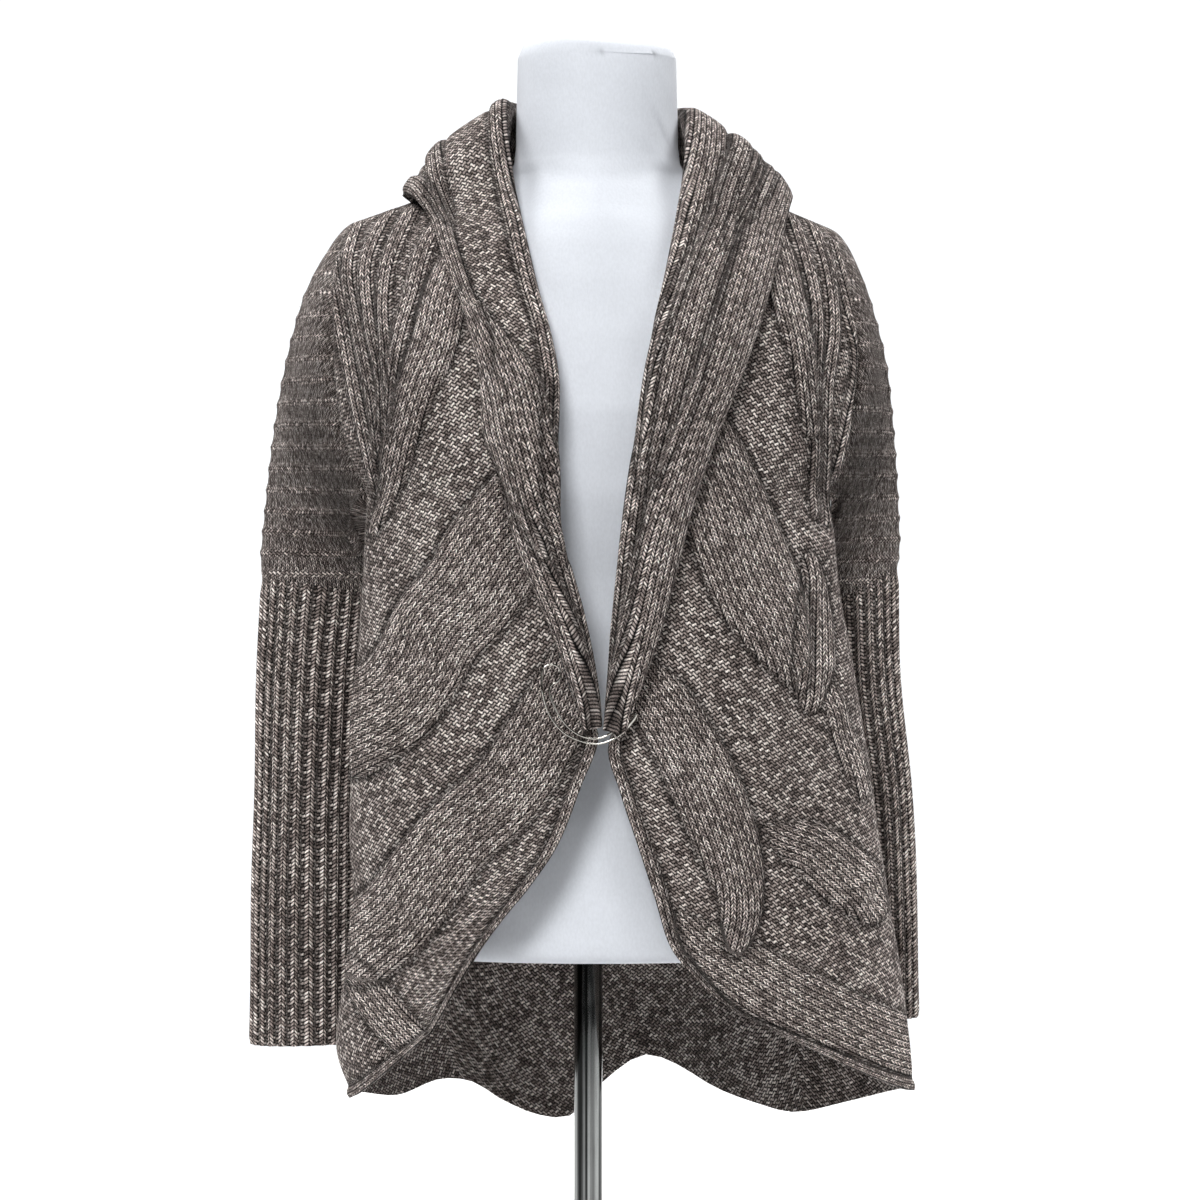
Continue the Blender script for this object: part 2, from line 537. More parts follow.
def back_grid():
    """Inner points of the back, rows from the shoulders down, left to right."""
    ends = [edge_points(side, [0], 3)[0] for side in (-1, 1)]
    part = np.arange(BACK_SHOULDER_COLUMNS) / BACK_SHOULDER_COLUMNS
    left_x = -NECK_X + (ends[0][0] + NECK_X) * (1 - part)
    right_x = NECK_X + (ends[1][0] - NECK_X) * (1 - part[::-1])
    angle = np.linspace(-math.pi / 2, math.pi / 2, BACK_NECK_COLUMNS + 1)
    flat = np.full(BACK_SHOULDER_COLUMNS, SHOULDER_Y)
    top = np.concatenate([
        np.stack([left_x, flat, shoulder_line(-1, left_x)], axis=-1),
        np.stack([NECK_X * np.sin(angle),
                  SHOULDER_Y + (NECK_BACK_Y - SHOULDER_Y) * np.cos(angle),
                  NECK_Z - NECK_BACK_DROP * np.cos(angle)], axis=-1),
        np.stack([right_x, flat, shoulder_line(1, right_x)], axis=-1)])
    count = len(top)
    rows = row_places()[:, None]
    left = edge_points(-1, rows[:, 0], 3)
    right = edge_points(1, rows[:, 0], 3)
    place = np.arange(count) / (count - 1)
    across = (0.7 * (0.5 - 0.5 * np.cos(place * math.pi)) + 0.3 * place)[None]
    wide = left[:, :1] + (right[:, :1] - left[:, :1]) * across
    x = top[:, 0] + (wide - top[:, 0]) * smooth_step(0, ARMHOLE_ROWS, rows)
    level = left[:, 2:] + (right[:, 2:] - left[:, 2:]) * across
    end = np.where(x < 0, ends[0][2], ends[1][2])
    rise = (top[:, 2] - end) * (1 - smooth_step(0, ARMHOLE_ROWS + 2, rows))
    last = rows[-1, 0]
    straight = left[-1, 2] + (right[-1, 2] - left[-1, 2]) * across
    sink = smooth_step(last - 7, last, rows)
    z = level + rise + (curve_value(BACK_HEM, x, 1) - straight) * sink
    grid = np.stack([x, back_y(x, z), z], axis=-1)
    grid[0] = top
    grid[:, 0] = left
    grid[:, -1] = right
    return grid


def ring(side, row, count, drop=0.0):
    """Points of a sleeve's section, its inner side lower than its outer one."""
    table = [(-values[0], *values[1:]) for values in SLEEVES[side]]
    across_x, across_y, wide, thick, turn = (float(curve_value(table, -row, column))
                                             for column in range(1, 6))
    turn = math.radians(turn)
    outer = np.array([side * math.cos(turn), -math.sin(turn), 0.0])
    front = np.array([-side * math.sin(turn), -math.cos(turn), 0.0])
    power = 2 / SLEEVE_SUPERELLIPSE
    angle = 2 * math.pi * np.arange(count) / count - turn
    along = np.copysign(np.abs(np.cos(angle)) ** power, np.cos(angle))
    over = np.copysign(np.abs(np.sin(angle)) ** power, np.sin(angle))
    points = (np.array([across_x, across_y, row]) + outer * wide * along[:, None]
              + front * thick * over[:, None])
    points[:, 2] -= drop * (0.5 + side * (across_x - points[:, 0]) / (2 * wide))
    return points


def upper_sleeve_grid(side):
    """Inner points of an upper sleeve, from the armhole down."""
    steps = ARMHOLE_ROWS * UPPER_STEPS
    down = np.arange(steps) / UPPER_STEPS
    start = np.concatenate([edge_points(side, down, 2),
                            edge_points(side, ARMHOLE_ROWS - down, 3)])
    start[steps:, 1] = np.where(np.arange(steps) == 0, start[steps:, 1],
                                edge_points(side, ARMHOLE_ROWS - down - 1e-6, 3)[:, 1])
    count = len(start)
    end = ring(side, SLEEVES[side][0][0], count, SLEEVE_SEAM_DROP[side])
    angle = 2 * math.pi * np.arange(count) / count
    height = np.sqrt(0.5 + 0.5 * np.cos(angle))
    direction = np.stack([side * (0.85 - 0.05 * height),
                          -0.25 * np.sin(angle) + 0.45 * (1 - height) ** 2,
                          -0.35 - 0.2 * height], axis=-1)
    reach = SLEEVE_LEAVE[side] * (0.45 + 0.55 * height)
    leave = start + unit(direction) * reach[:, None]
    arrive = end.copy()
    arrive[:, 2] += 18 + 42 * height
    part = (np.arange(UPPER_SLEEVE_ROWS + 1) / UPPER_SLEEVE_ROWS)[:, None, None]
    rest = 1 - part
    return (rest**3 * start + 3 * rest**2 * part * leave
            + 3 * rest * part**2 * arrive + part**3 * end)


def lower_sleeve_grid(side):
    """Inner points of a ribbed sleeve, from its seam to the open cuff."""
    count = 2 * ARMHOLE_ROWS * UPPER_STEPS
    top = SLEEVES[side][0][0]
    bottom = SLEEVES[side][-1][0]
    lines = []
    for part in np.arange(LOWER_SLEEVE_ROWS + 1) / LOWER_SLEEVE_ROWS:
        lines.append(ring(side, top + (bottom - top) * part, count,
                          SLEEVE_SEAM_DROP[side] * (1 - part)))
    return np.array(lines)


# ---------------------------------------------------------------- normals

def grid_normals(grid, closed, outward):
    """Normals of a grid that face the way that outward says at its middle."""
    down = np.gradient(grid, axis=0)
    if closed:
        across = np.roll(grid, -1, axis=1) - np.roll(grid, 1, axis=1)
    else:
        across = np.gradient(grid, axis=1)
    normals = unit(np.cross(across, down))
    middle = (grid.shape[0] // 2, grid.shape[1] // 2)
    return -normals if normals[middle] @ outward < 0 else normals


def tube_normals(grid):
    """Normals of a sleeve, away from its own middle."""
    normals = grid_normals(grid, True, np.array([0, 0, 1.0]))
    centre = grid.mean(axis=1, keepdims=True)
    return -normals if ((grid - centre) * normals).sum() < 0 else normals


def panel_normals(grid, depth, sign):
    """Normals of a panel from its depth over the front view; sign is -1 in front."""
    x = grid[..., 0]
    z = grid[..., 2]
    limits = [0.985 * edge_value(side, z, 1) - 1.0 for side in (-1, 1)]
    limit = np.where(x < 0, limits[0], limits[1])
    x = np.clip(x, -limit, limit)
    slope_x = (depth(x + 1.0, z) - depth(x - 1.0, z)) / 2
    slope_z = (depth(x, z + 2.0) - depth(x, z - 2.0)) / 4
    return unit(sign * np.stack([-slope_x, np.ones_like(x), -slope_z], axis=-1))


def lean(normals, line, shared, reach, axis):
    """Turn the normals beside an edge towards those that it shares with a neighbour."""
    for step in range(reach):
        weight = (1 - step / reach) ** 2
        place = line + step if line >= 0 else line - step
        own = normals[place] if axis == 0 else normals[:, place]
        turned = unit(own + (shared - own) * weight)
        if axis == 0:
            normals[place] = turned
        else:
            normals[:, place] = turned


@functools.lru_cache(maxsize=1)
def cloth():
    """All inner grids and normals of the cloth, with the seams' normals shared."""
    fronts = {side: front_grid(side) for side in (-1, 1)}
    back = back_grid()
    uppers = {side: upper_sleeve_grid(side) for side in (-1, 1)}
    lowers = {side: lower_sleeve_grid(side) for side in (-1, 1)}
    front_n = {side: panel_normals(fronts[side], functools.partial(front_y, side), -1)
               for side in (-1, 1)}
    back_n = panel_normals(back, back_y, 1)
    upper_n = {side: tube_normals(uppers[side]) for side in (-1, 1)}
    lower_n = {side: tube_normals(lowers[side]) for side in (-1, 1)}
    steps = ARMHOLE_ROWS * UPPER_STEPS
    up = np.array([0, 0, 1.0])
    for side in (-1, 1):
        column = 0 if side == -1 else -1
        sleeve = upper_n[side][0].copy()
        front = front_n[side][:, 0].copy()
        rear = back_n[:, column].copy()
        front[1:steps] = unit(front[1:steps] + sleeve[1:steps])
        sleeve[1:steps] = front[1:steps]
        rear[1:steps] = unit(rear[1:steps] + sleeve[steps + 1:][::-1])
        sleeve[steps + 1:] = rear[1:steps][::-1]
        under = unit(unit(front[steps] + rear[steps]) + sleeve[steps])
        front[steps] = rear[steps] = sleeve[steps] = under
        front[0] = rear[0] = sleeve[0] = up
        seam = unit(front[steps + 1:] + rear[steps + 1:])
        front[steps + 1:] = rear[steps + 1:] = seam
        lean(front_n[side], 0, front, 7, 1)
        lean(back_n, column, rear, 7, 1)
        lean(upper_n[side], 0, sleeve, 7, 0)
        joint = unit(upper_n[side][-1] + lower_n[side][0])
        lean(upper_n[side], -1, joint, 6, 0)
        lean(lower_n[side], 0, joint, 6, 0)
        lean(front_n[side], 0, up, 6, 0)
    shoulder = BACK_SHOULDER_COLUMNS + 1
    lean(back_n[:, :shoulder], 0, up, 6, 0)
    lean(back_n[:, -shoulder:], 0, up, 6, 0)
    return {"fronts": fronts, "back": back, "uppers": uppers, "lowers": lowers,
            "front_n": front_n, "back_n": back_n, "upper_n": upper_n,
            "lower_n": lower_n}


# ---------------------------------------------------------------- relief and stitches

class Stitches:
    """Relief over a grid, with where each point lies in the ground and in a strand."""

    def __init__(self, across, along):
        self.ground = (across, along)
        self.across = across.copy()
        self.along = along.copy()
        self.rise = np.zeros_like(across)
        self.groove = np.zeros_like(across)
        self.inside = np.full_like(across, -1e3)

    def add(self, inside, rise, across, along, groove=1.5):
        """Lay a strand over the ground where it rises higher than what is there."""
        take = (inside > 0) & ((rise > self.rise) | (self.inside <= 0))
        take |= (inside <= 0) & (self.inside <= 0) & (inside > self.inside)
        self.inside = np.where(take, inside, self.inside)
        self.rise = np.where(take, np.where(inside > 0, rise, 0.0), self.rise)
        self.across = np.where(take, across, self.across)
        self.along = np.where(take, along, self.along)
        dip = groove * np.exp(-((inside + 0.6) / 2.2) ** 2)
        self.groove = np.maximum(self.groove, dip)

    def relief(self):
        """Height of the outer face above the wall."""
        return self.rise - self.groove

    def share(self):
        """1 in a strand and 0 in the ground."""
        return np.clip(self.inside + 0.5, 0.0, 1.0)


def polyline_place(x, z, line):
    """Place of points against a strand: inside, distance ratio, across and along."""
    points = spline(line, [6] * (len(line) - 1))
    nearest = np.full(x.shape, 1e9)
    across = np.zeros(x.shape)
    along = np.zeros(x.shape)
    half = np.ones(x.shape)
    start = 0.0
    for first, second in zip(points, points[1:]):
        step = second[:2] - first[:2]
        length = float(np.hypot(*step))
        if length < 1e-6:
            continue
        off_x = x - first[0]
        off_z = z - first[1]
        free = (off_x * step[0] + off_z * step[1]) / length**2
        part = np.clip(free, 0.0, 1.0)
        distance = np.hypot(off_x - part * step[0], off_z - part * step[1])
        turn = (step[0] * off_z - step[1] * off_x) / length
        closer = distance < nearest
        nearest = np.where(closer, distance, nearest)
        across = np.where(closer, turn, across)
        along = np.where(closer, start + free * length, along)
        half = np.where(closer, first[2] + part * (second[2] - first[2]), half)
        start += length
    return half - nearest, nearest / np.maximum(half, 0.1), across, along


def lay_strands(stitches, x, z, strands):
    """Lay a table's strands over a panel."""
    for height, line in strands:
        inside, ratio, across, along = polyline_place(x, z, line)
        # A strand sinks where it narrows.
        full = 0.55 * max(row[2] for row in line)
        half = inside / np.maximum(1 - ratio, 1e-3)
        sunk = np.where(inside > 0, np.clip(half / full, 0.3, 1.0), 1.0)
        rise = height * sunk * np.sqrt(np.clip(1 - ratio**3, 0.0, 1.0))
        stitches.add(inside, rise, across, along, 0.33 * height)


def crease_height(x, z, creases):
    """Height of the soft creases over a panel."""
    total = np.zeros_like(x)
    for x1, z1, x2, z2, width, height in creases:
        step = np.array([x2 - x1, z2 - z1], float)
        part = ((x - x1) * step[0] + (z - z1) * step[1]) / (step @ step)
        held = np.clip(part, 0.0, 1.0)
        distance = np.hypot(x - x1 - held * step[0], z - z1 - held * step[1])
        total += height * np.exp(-(distance / width) ** 2 * 2.0)
    return total


def pucker_depth(x, z, puckers):
    """Depth of the pinched places over a panel."""
    total = np.zeros_like(x)
    for place_x, place_z, depth, radius in puckers:
        distance = np.hypot(x - place_x, (z - place_z) * 0.6)
        total += depth * np.exp(-(distance / radius) ** 2)
        total -= 0.5 * depth * np.exp(-((distance - 2.2 * radius) / radius) ** 2)
    return total


def panel_stitches(grid):
    """Stitches of a panel's ground, along its rows and columns."""
    middle = grid.shape[1] // 2
    across = run_length(grid, 1)
    across -= across[:, middle:middle + 1]
    lift = run_length(grid, 0)
    return Stitches(across, lift)


def edge_roll(distance, width, height):
    """Thickness of a rolled edge at a distance from it."""
    return height * np.sqrt(np.clip(1 - (distance / width - 0.35) ** 2 / 0.42, 0.0, 1.0))


def underarm_share(side, grid):
    """Share of the thickness that is left close to the point of an underarm."""
    distance = np.linalg.norm(grid - edge_points(side, [ARMHOLE_ROWS], 2)[0], axis=-1)
    return UNDERARM_SHARE + (1 - UNDERARM_SHARE) * np.clip(distance / UNDERARM_REACH, 0.0, 1.0)


# ---------------------------------------------------------------- meshes

def ride_root(piece):
    """Make a piece move with the whole object."""
    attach(piece, "root")
    return piece


def mesh_piece(name, points, faces, material, sharp=60.0):
    """Make a smooth-shaded piece with its faces turned outward."""
    mesh = bpy.data.meshes.new(name)
    mesh.from_pydata(points.tolist(), [], faces)
    work = bmesh.new()
    work.from_mesh(mesh)
    bmesh.ops.recalc_face_normals(work, faces=work.faces)
    work.to_mesh(mesh)
    work.free()
    mesh.shade_smooth()
    mesh.set_sharp_from_angle(angle=math.radians(sharp))
    mesh.materials.append(material)
    piece = bpy.data.objects.new(name, mesh)
    bpy.context.scene.collection.objects.link(piece)
    return ride_root(piece)


def placed(points):
    """Turn the garment's millimetres into the frame's metres."""
    return (points + np.array([GARMENT_X, 0.0, 0.0])) * MM


def grid_faces(rows, columns, closed, start=0):
    """Faces of a grid of points; a closed one joins its last column to its first."""
    faces = []
    for row in range(rows - 1):
        for column in range(columns if closed else columns - 1):
            after = (column + 1) % columns
            corners = (row * columns + column, row * columns + after,
                       (row + 1) * columns + after, (row + 1) * columns + column)
            faces.append(tuple(start + corner for corner in corners))
    return faces


def ring_faces(rings, sides):
    """Faces of a row of rings, with a cap on each end."""
    return grid_faces(rings, sides, True) + [
        tuple(range(sides)), tuple(range((rings - 1) * sides, rings * sides))]


def bridge(outer, inner, kept):
    """Triangles between an outer edge and the inner edge that keeps some points."""
    faces = []
    for index in range(len(inner) - 1):
        first = kept[index]
        last = kept[index + 1]
        middle = (first + last) // 2
        for k in range(first, middle):
            faces.append((inner[index], outer[k], outer[k + 1]))
        faces.append((inner[index], outer[middle], inner[index + 1]))
        for k in range(middle, last):
            faces.append((inner[index + 1], outer[k], outer[k + 1]))
    return faces


def shell(name, base, normals, thickness, closed, stitches, material):
    """Close a thin shell between a raised outer grid and a plain, coarser inner one."""
    outer = base + normals * thickness[..., None]
    rows, columns = base.shape[:2]
    kept_rows = list(range(0, rows - 1, INNER_STEP)) + [rows - 1]
    kept_columns = list(range(0, columns, INNER_STEP)) if closed \
        else list(range(0, columns - 1, INNER_STEP)) + [columns - 1]
    pick = np.ix_(kept_rows, kept_columns)
    points = np.concatenate([outer.reshape(-1, 3), base[pick].reshape(-1, 3)])
    start = rows * columns
    across = len(kept_columns)
    faces = grid_faces(rows, columns, closed)
    faces += [face[:1] + face[:0:-1]
              for face in grid_faces(len(kept_rows), across, closed, start)]
    outside = np.arange(start).reshape(rows, columns)
    inside = start + np.arange(len(kept_rows) * across).reshape(-1, across)
    if closed:
        outside = np.hstack([outside, outside[:, :1]])
        inside = np.hstack([inside, inside[:, :1]])
        kept_columns.append(columns)
    for place in (0, -1):
        faces += bridge(outside[place].tolist(), inside[place].tolist(), kept_columns)
    if not closed:
        for place in (0, -1):
            faces += bridge(outside[:, place].tolist(), inside[:, place].tolist(),
                            kept_rows)
    piece = mesh_piece(name, placed(points), faces, material)
    inner_share = np.zeros((len(kept_rows), across))
    # The inner face lies in the shade of the cloth, as a furrow does.
    fields = (
        ("ground_stitch", *stitches.ground, np.clip(stitches.groove, 0.0, 1.0),
         inner_share + INNER_SHADE),
        ("strand_stitch", stitches.across, stitches.along, stitches.share(), inner_share),
    )
    knit = bpy.context.scene.cardigan_knit
    for label, side_way, length_way, share, plain in fields:
        u = side_way * MM / knit.wale
        v = length_way * MM / knit.course
        outer_values = np.stack([u, v, share], axis=-1).reshape(-1, 3)
        inner_values = np.stack([u[pick], v[pick], plain], axis=-1).reshape(-1, 3)
        attribute = piece.data.attributes.new(label, "FLOAT_VECTOR", "POINT")
        attribute.data.foreach_set(
            "vector", np.concatenate([outer_values, inner_values]).astype(np.float32).ravel())
    return piece


def tube(name, path, radii, sides, material):
    """Make a closed round tube along a path of points in metres."""
    path = np.asarray(path, float)
    radii = np.broadcast_to(np.asarray(radii, float), (len(path),))
    forward = unit(np.gradient(path, axis=0))
    beside = unit(np.cross(forward[0], [0.123, 0.456, 0.881]))
    points = []
    for place, ahead, radius in zip(path, forward, radii):
        beside = unit(beside - (beside @ ahead) * ahead)
        above = np.cross(ahead, beside)
        for step in range(sides):
            angle = 2 * math.pi * step / sides
            points.append(place + radius * (math.cos(angle) * beside
                                            + math.sin(angle) * above))
    return mesh_piece(name, np.array(points), ring_faces(len(path), sides), material, 50.0)


# ---------------------------------------------------------------- materials

def add_node(tree, kind, inputs=None, **settings):
    """Add a node with its settings, and with its inputs set or linked."""
    made = tree.nodes.new(kind)
    for name, value in settings.items():
        setattr(made, name, value)
    for name, value in (inputs or {}).items():
        if isinstance(value, bpy.types.NodeSocket):
            tree.links.new(value, made.inputs[name])
        else:
            made.inputs[name].default_value = value
    return made


def new_finish(name, **sockets):
    """Make a material whose shader starts with the given sockets."""
    material = bpy.data.materials.new(name)
    material.use_nodes = True
    shader = material.node_tree.nodes["Principled BSDF"]
    for socket, value in sockets.items():
        shader.inputs[socket.replace("_", " ")].default_value = value
    return material, material.node_tree, shader


def yarn_wave(tree, place, turn, power):
    """Height of yarns that lie side by side: 0 between them and 1 on each."""
    for operation, amount in (("MULTIPLY", turn), ("SINE", 0.0), ("ABSOLUTE", 0.0),
                              ("POWER", power)):
        place = add_node(tree, "ShaderNodeMath", {0: place, 1: amount},
                         operation=operation).outputs[0]
    return place


def plain_stitch(tree, u, v):
    """Height of smooth knitting: columns of yarn legs that lean into a V."""
    part = add_node(tree, "ShaderNodeMath", {0: u}, operation="FRACT").outputs[0]
    off = add_node(tree, "ShaderNodeMath", {0: part, 1: 0.5}, operation="SUBTRACT").outputs[0]
    leg = add_node(tree, "ShaderNodeMath", {0: off}, operation="ABSOLUTE").outputs[0]
    shifted = add_node(tree, "ShaderNodeMath", {0: leg, 1: -2.5, 2: v},
                       operation="MULTIPLY_ADD").outputs[0]
    height = yarn_wave(tree, shifted, math.pi, 0.7)
    # A gap on each side of a column, and one along its middle.
    for turn, power in ((math.pi, 0.3), (2 * math.pi, 0.4)):
        height = add_node(tree, "ShaderNodeMath",
                          {0: height, 1: yarn_wave(tree, part, turn, power)},
                          operation="MULTIPLY").outputs[0]
    return height, shifted


def purl_stitch(tree, u, v):
    """Height of purl knitting: half-dropped humps in wavy rows."""
    turn = add_node(tree, "ShaderNodeMath", {0: u, 1: 2 * math.pi},
                    operation="MULTIPLY").outputs[0]
    sway = add_node(tree, "ShaderNodeMath", {0: turn}, operation="SINE").outputs[0]
    level = add_node(tree, "ShaderNodeMath", {0: sway, 1: 0.26, 2: v},
                     operation="MULTIPLY_ADD").outputs[0]
    row = add_node(tree, "ShaderNodeMath", {0: level}, operation="FLOOR").outputs[0]
    shift = add_node(tree, "ShaderNodeMath", {0: row, 1: 0.5, 2: u},
                     operation="MULTIPLY_ADD").outputs[0]
    height = add_node(tree, "ShaderNodeMath", {0: yarn_wave(tree, shift, math.pi, 0.4),
                                               1: yarn_wave(tree, level, math.pi, 0.75)},
                      operation="MULTIPLY").outputs[0]
    return height, shift, level


def wool_knit():
    """Hand-knitted melange wool: matt, hairy yarn whose fibres differ in tone, so
    that every stitch shows light flecks between dark gaps."""
    name = "melange_wool_hand_knit"
    if name in bpy.data.materials:
        return bpy.data.materials[name]
    knit = bpy.context.scene.cardigan_knit
    material, tree, shader = new_finish(
        name, Roughness=0.92, IOR=1.54, Specular_IOR_Level=0.1, Sheen_Weight=0.05,
        Sheen_Roughness=0.4, Sheen_Tint=(0.9, 0.87, 0.85, 1.0))
    ground = add_node(tree, "ShaderNodeAttribute", attribute_name="ground_stitch")
    strand = add_node(tree, "ShaderNodeAttribute", attribute_name="strand_stitch")
    ground_place = add_node(tree, "ShaderNodeSeparateXYZ", {0: ground.outputs["Vector"]})
    strand_place = add_node(tree, "ShaderNodeSeparateXYZ", {0: strand.outputs["Vector"]})
    raised = add_node(tree, "ShaderNodeMath", {0: strand_place.outputs[2], 1: 0.5},
                      operation="GREATER_THAN").outputs[0]
    smooth, leg_row = plain_stitch(tree, strand_place.outputs[0], strand_place.outputs[1])
    bumpy, purl_column, purl_row = purl_stitch(tree, ground_place.outputs[0],
                                               ground_place.outputs[1])
    height = add_node(tree, "ShaderNodeMix", {"Factor": raised, "A": bumpy, "B": smooth},
                      data_type="FLOAT").outputs[0]
    # Each leg or hump of yarn has its own tone.
    half_wale = add_node(tree, "ShaderNodeMath", {0: strand_place.outputs[0], 1: 2.0},
                         operation="MULTIPLY").outputs[0]
    numbers = []
    for purl, plain in ((purl_column, half_wale), (purl_row, leg_row)):
        number = add_node(tree, "ShaderNodeMix", {"Factor": raised, "A": purl, "B": plain},
                          data_type="FLOAT").outputs[0]
        numbers.append(add_node(tree, "ShaderNodeMath", {0: number},
                                operation="FLOOR").outputs[0])
    cell = add_node(tree, "ShaderNodeCombineXYZ", {0: numbers[0], 1: numbers[1],
                                                   2: raised}).outputs[0]
    tone = add_node(tree, "ShaderNodeTexWhiteNoise", {"Vector": cell},
                    noise_dimensions="3D").outputs["Value"]
    place = add_node(tree, "ShaderNodeTexCoord").outputs["Object"]
    # Wool fibres are 0.03 mm thick; their flecks are drawn at about 0.8 mm to show.
    fleck = add_node(tree, "ShaderNodeTexNoise", {"Vector": place, "Scale": 1250.0,
                                                  "Detail": 3.0, "Roughness": 0.65})
    # Slow changes of tone over some 60 mm, from the dyeing of the fibres.
    cloud = add_node(tree, "ShaderNodeTexNoise", {"Vector": place, "Scale": 16.0,
                                                  "Detail": 2.0})
    mixed = add_node(tree, "ShaderNodeMath", {0: tone, 1: 0.34, 2: -0.1},
                     operation="MULTIPLY_ADD").outputs[0]
    for texture, share in ((fleck, 0.8), (cloud, 0.16)):
        mixed = add_node(tree, "ShaderNodeMath",
                         {0: texture.outputs[0], 1: share, 2: mixed},
                         operation="MULTIPLY_ADD").outputs[0]
    ramp = add_node(tree, "ShaderNodeValToRGB", {0: mixed})
    stops = ramp.color_ramp.elements
    stops[0].position = 0.3
    stops[0].color = (*knit.dark, 1.0)
    stops[1].position = 0.84
    stops[1].color = (*knit.light, 1.0)
    middle = stops.new(0.55)
    middle.color = (*knit.middle, 1.0)
    # Little light reaches the gaps between the yarns.
    gap = add_node(tree, "ShaderNodeMapRange", {"Value": height, "From Min": 0.26,
                                                "From Max": 0.9, "To Min": 0.01,
                                                "To Max": 2.2}).outputs[0]
    level = add_node(tree, "ShaderNodeMath", {0: raised, 1: 0.26, 2: 0.8},
                     operation="MULTIPLY_ADD").outputs[0]
    # Less still reaches the furrow beside a raised strand.
    furrow = add_node(tree, "ShaderNodeMath", {0: ground_place.outputs[2], 1: -0.6, 2: 1.0},
                      operation="MULTIPLY_ADD").outputs[0]
    for factor in (level, furrow):
        gap = add_node(tree, "ShaderNodeMath", {0: gap, 1: factor},
                       operation="MULTIPLY").outputs[0]
    shade = add_node(tree, "ShaderNodeMix", {"Factor": 1.0, 6: ramp.outputs[0], 7: gap},
                     data_type="RGBA", blend_type="MULTIPLY")
    tree.links.new(shade.outputs[2], shader.inputs["Base Color"])
    rough = add_node(tree, "ShaderNodeMath", {0: fleck.outputs[0], 1: 0.22, 2: height},
                     operation="MULTIPLY_ADD").outputs[0]
    bump = add_node(tree, "ShaderNodeBump", {"Strength": 1.0, "Distance": knit.relief,
                                             "Height": rough})
    tree.links.new(bump.outputs[0], shader.inputs["Normal"])
    return material


def form_jersey():
    """Stretched polyester jersey over a foam form: soft white with a cool cast, a
    faint fine knit and slow dents that only show in raking light."""
    name = "stretched_polyester_jersey"
    stand = bpy.context.scene.cardigan_stand
    material, tree, shader = new_finish(
        name, Roughness=0.72, IOR=1.57, Specular_IOR_Level=0.35, Sheen_Weight=0.12,
        Sheen_Roughness=0.5)
    place = add_node(tree, "ShaderNodeTexCoord").outputs["Object"]
    # Fine gauge of 0.6 mm, drawn at 1.6 mm so that it shows.
    fine = add_node(tree, "ShaderNodeMapping", {"Vector": place, "Scale": (1.0, 1.0, 0.55)})
    gauge = add_node(tree, "ShaderNodeTexNoise", {"Vector": fine.outputs[0],
                                                  "Scale": 620.0, "Detail": 2.0})
    dents = add_node(tree, "ShaderNodeTexNoise", {"Vector": place, "Scale": 22.0,
                                                  "Detail": 2.0, "Roughness": 0.4})
    cast = add_node(tree, "ShaderNodeMapRange", {"Value": dents.outputs[0],
                                                 "From Min": 0.3, "From Max": 0.7,
                                                 "To Min": 0.95, "To Max": 1.0}).outputs[0]
    weave = add_node(tree, "ShaderNodeMapRange", {"Value": gauge.outputs[0],
                                                  "From Min": 0.3, "From Max": 0.7,
                                                  "To Min": 0.94, "To Max": 1.0}).outputs[0]
    tone = add_node(tree, "ShaderNodeMath", {0: cast, 1: weave},
                    operation="MULTIPLY").outputs[0]
    shade = add_node(tree, "ShaderNodeVectorMath", {0: tuple(stand.jersey), "Scale": tone},
                     operation="SCALE").outputs[0]
    tree.links.new(shade, shader.inputs["Base Color"])
    low = add_node(tree, "ShaderNodeBump", {"Strength": 0.5, "Distance": 0.003,
                                            "Height": dents.outputs[0]})
    high = add_node(tree, "ShaderNodeBump", {"Strength": 0.35, "Distance": 0.0004,
                                             "Height": gauge.outputs[0],
                                             "Normal": low.outputs[0]})
    tree.links.new(high.outputs[0], shader.inputs["Normal"])
    return material


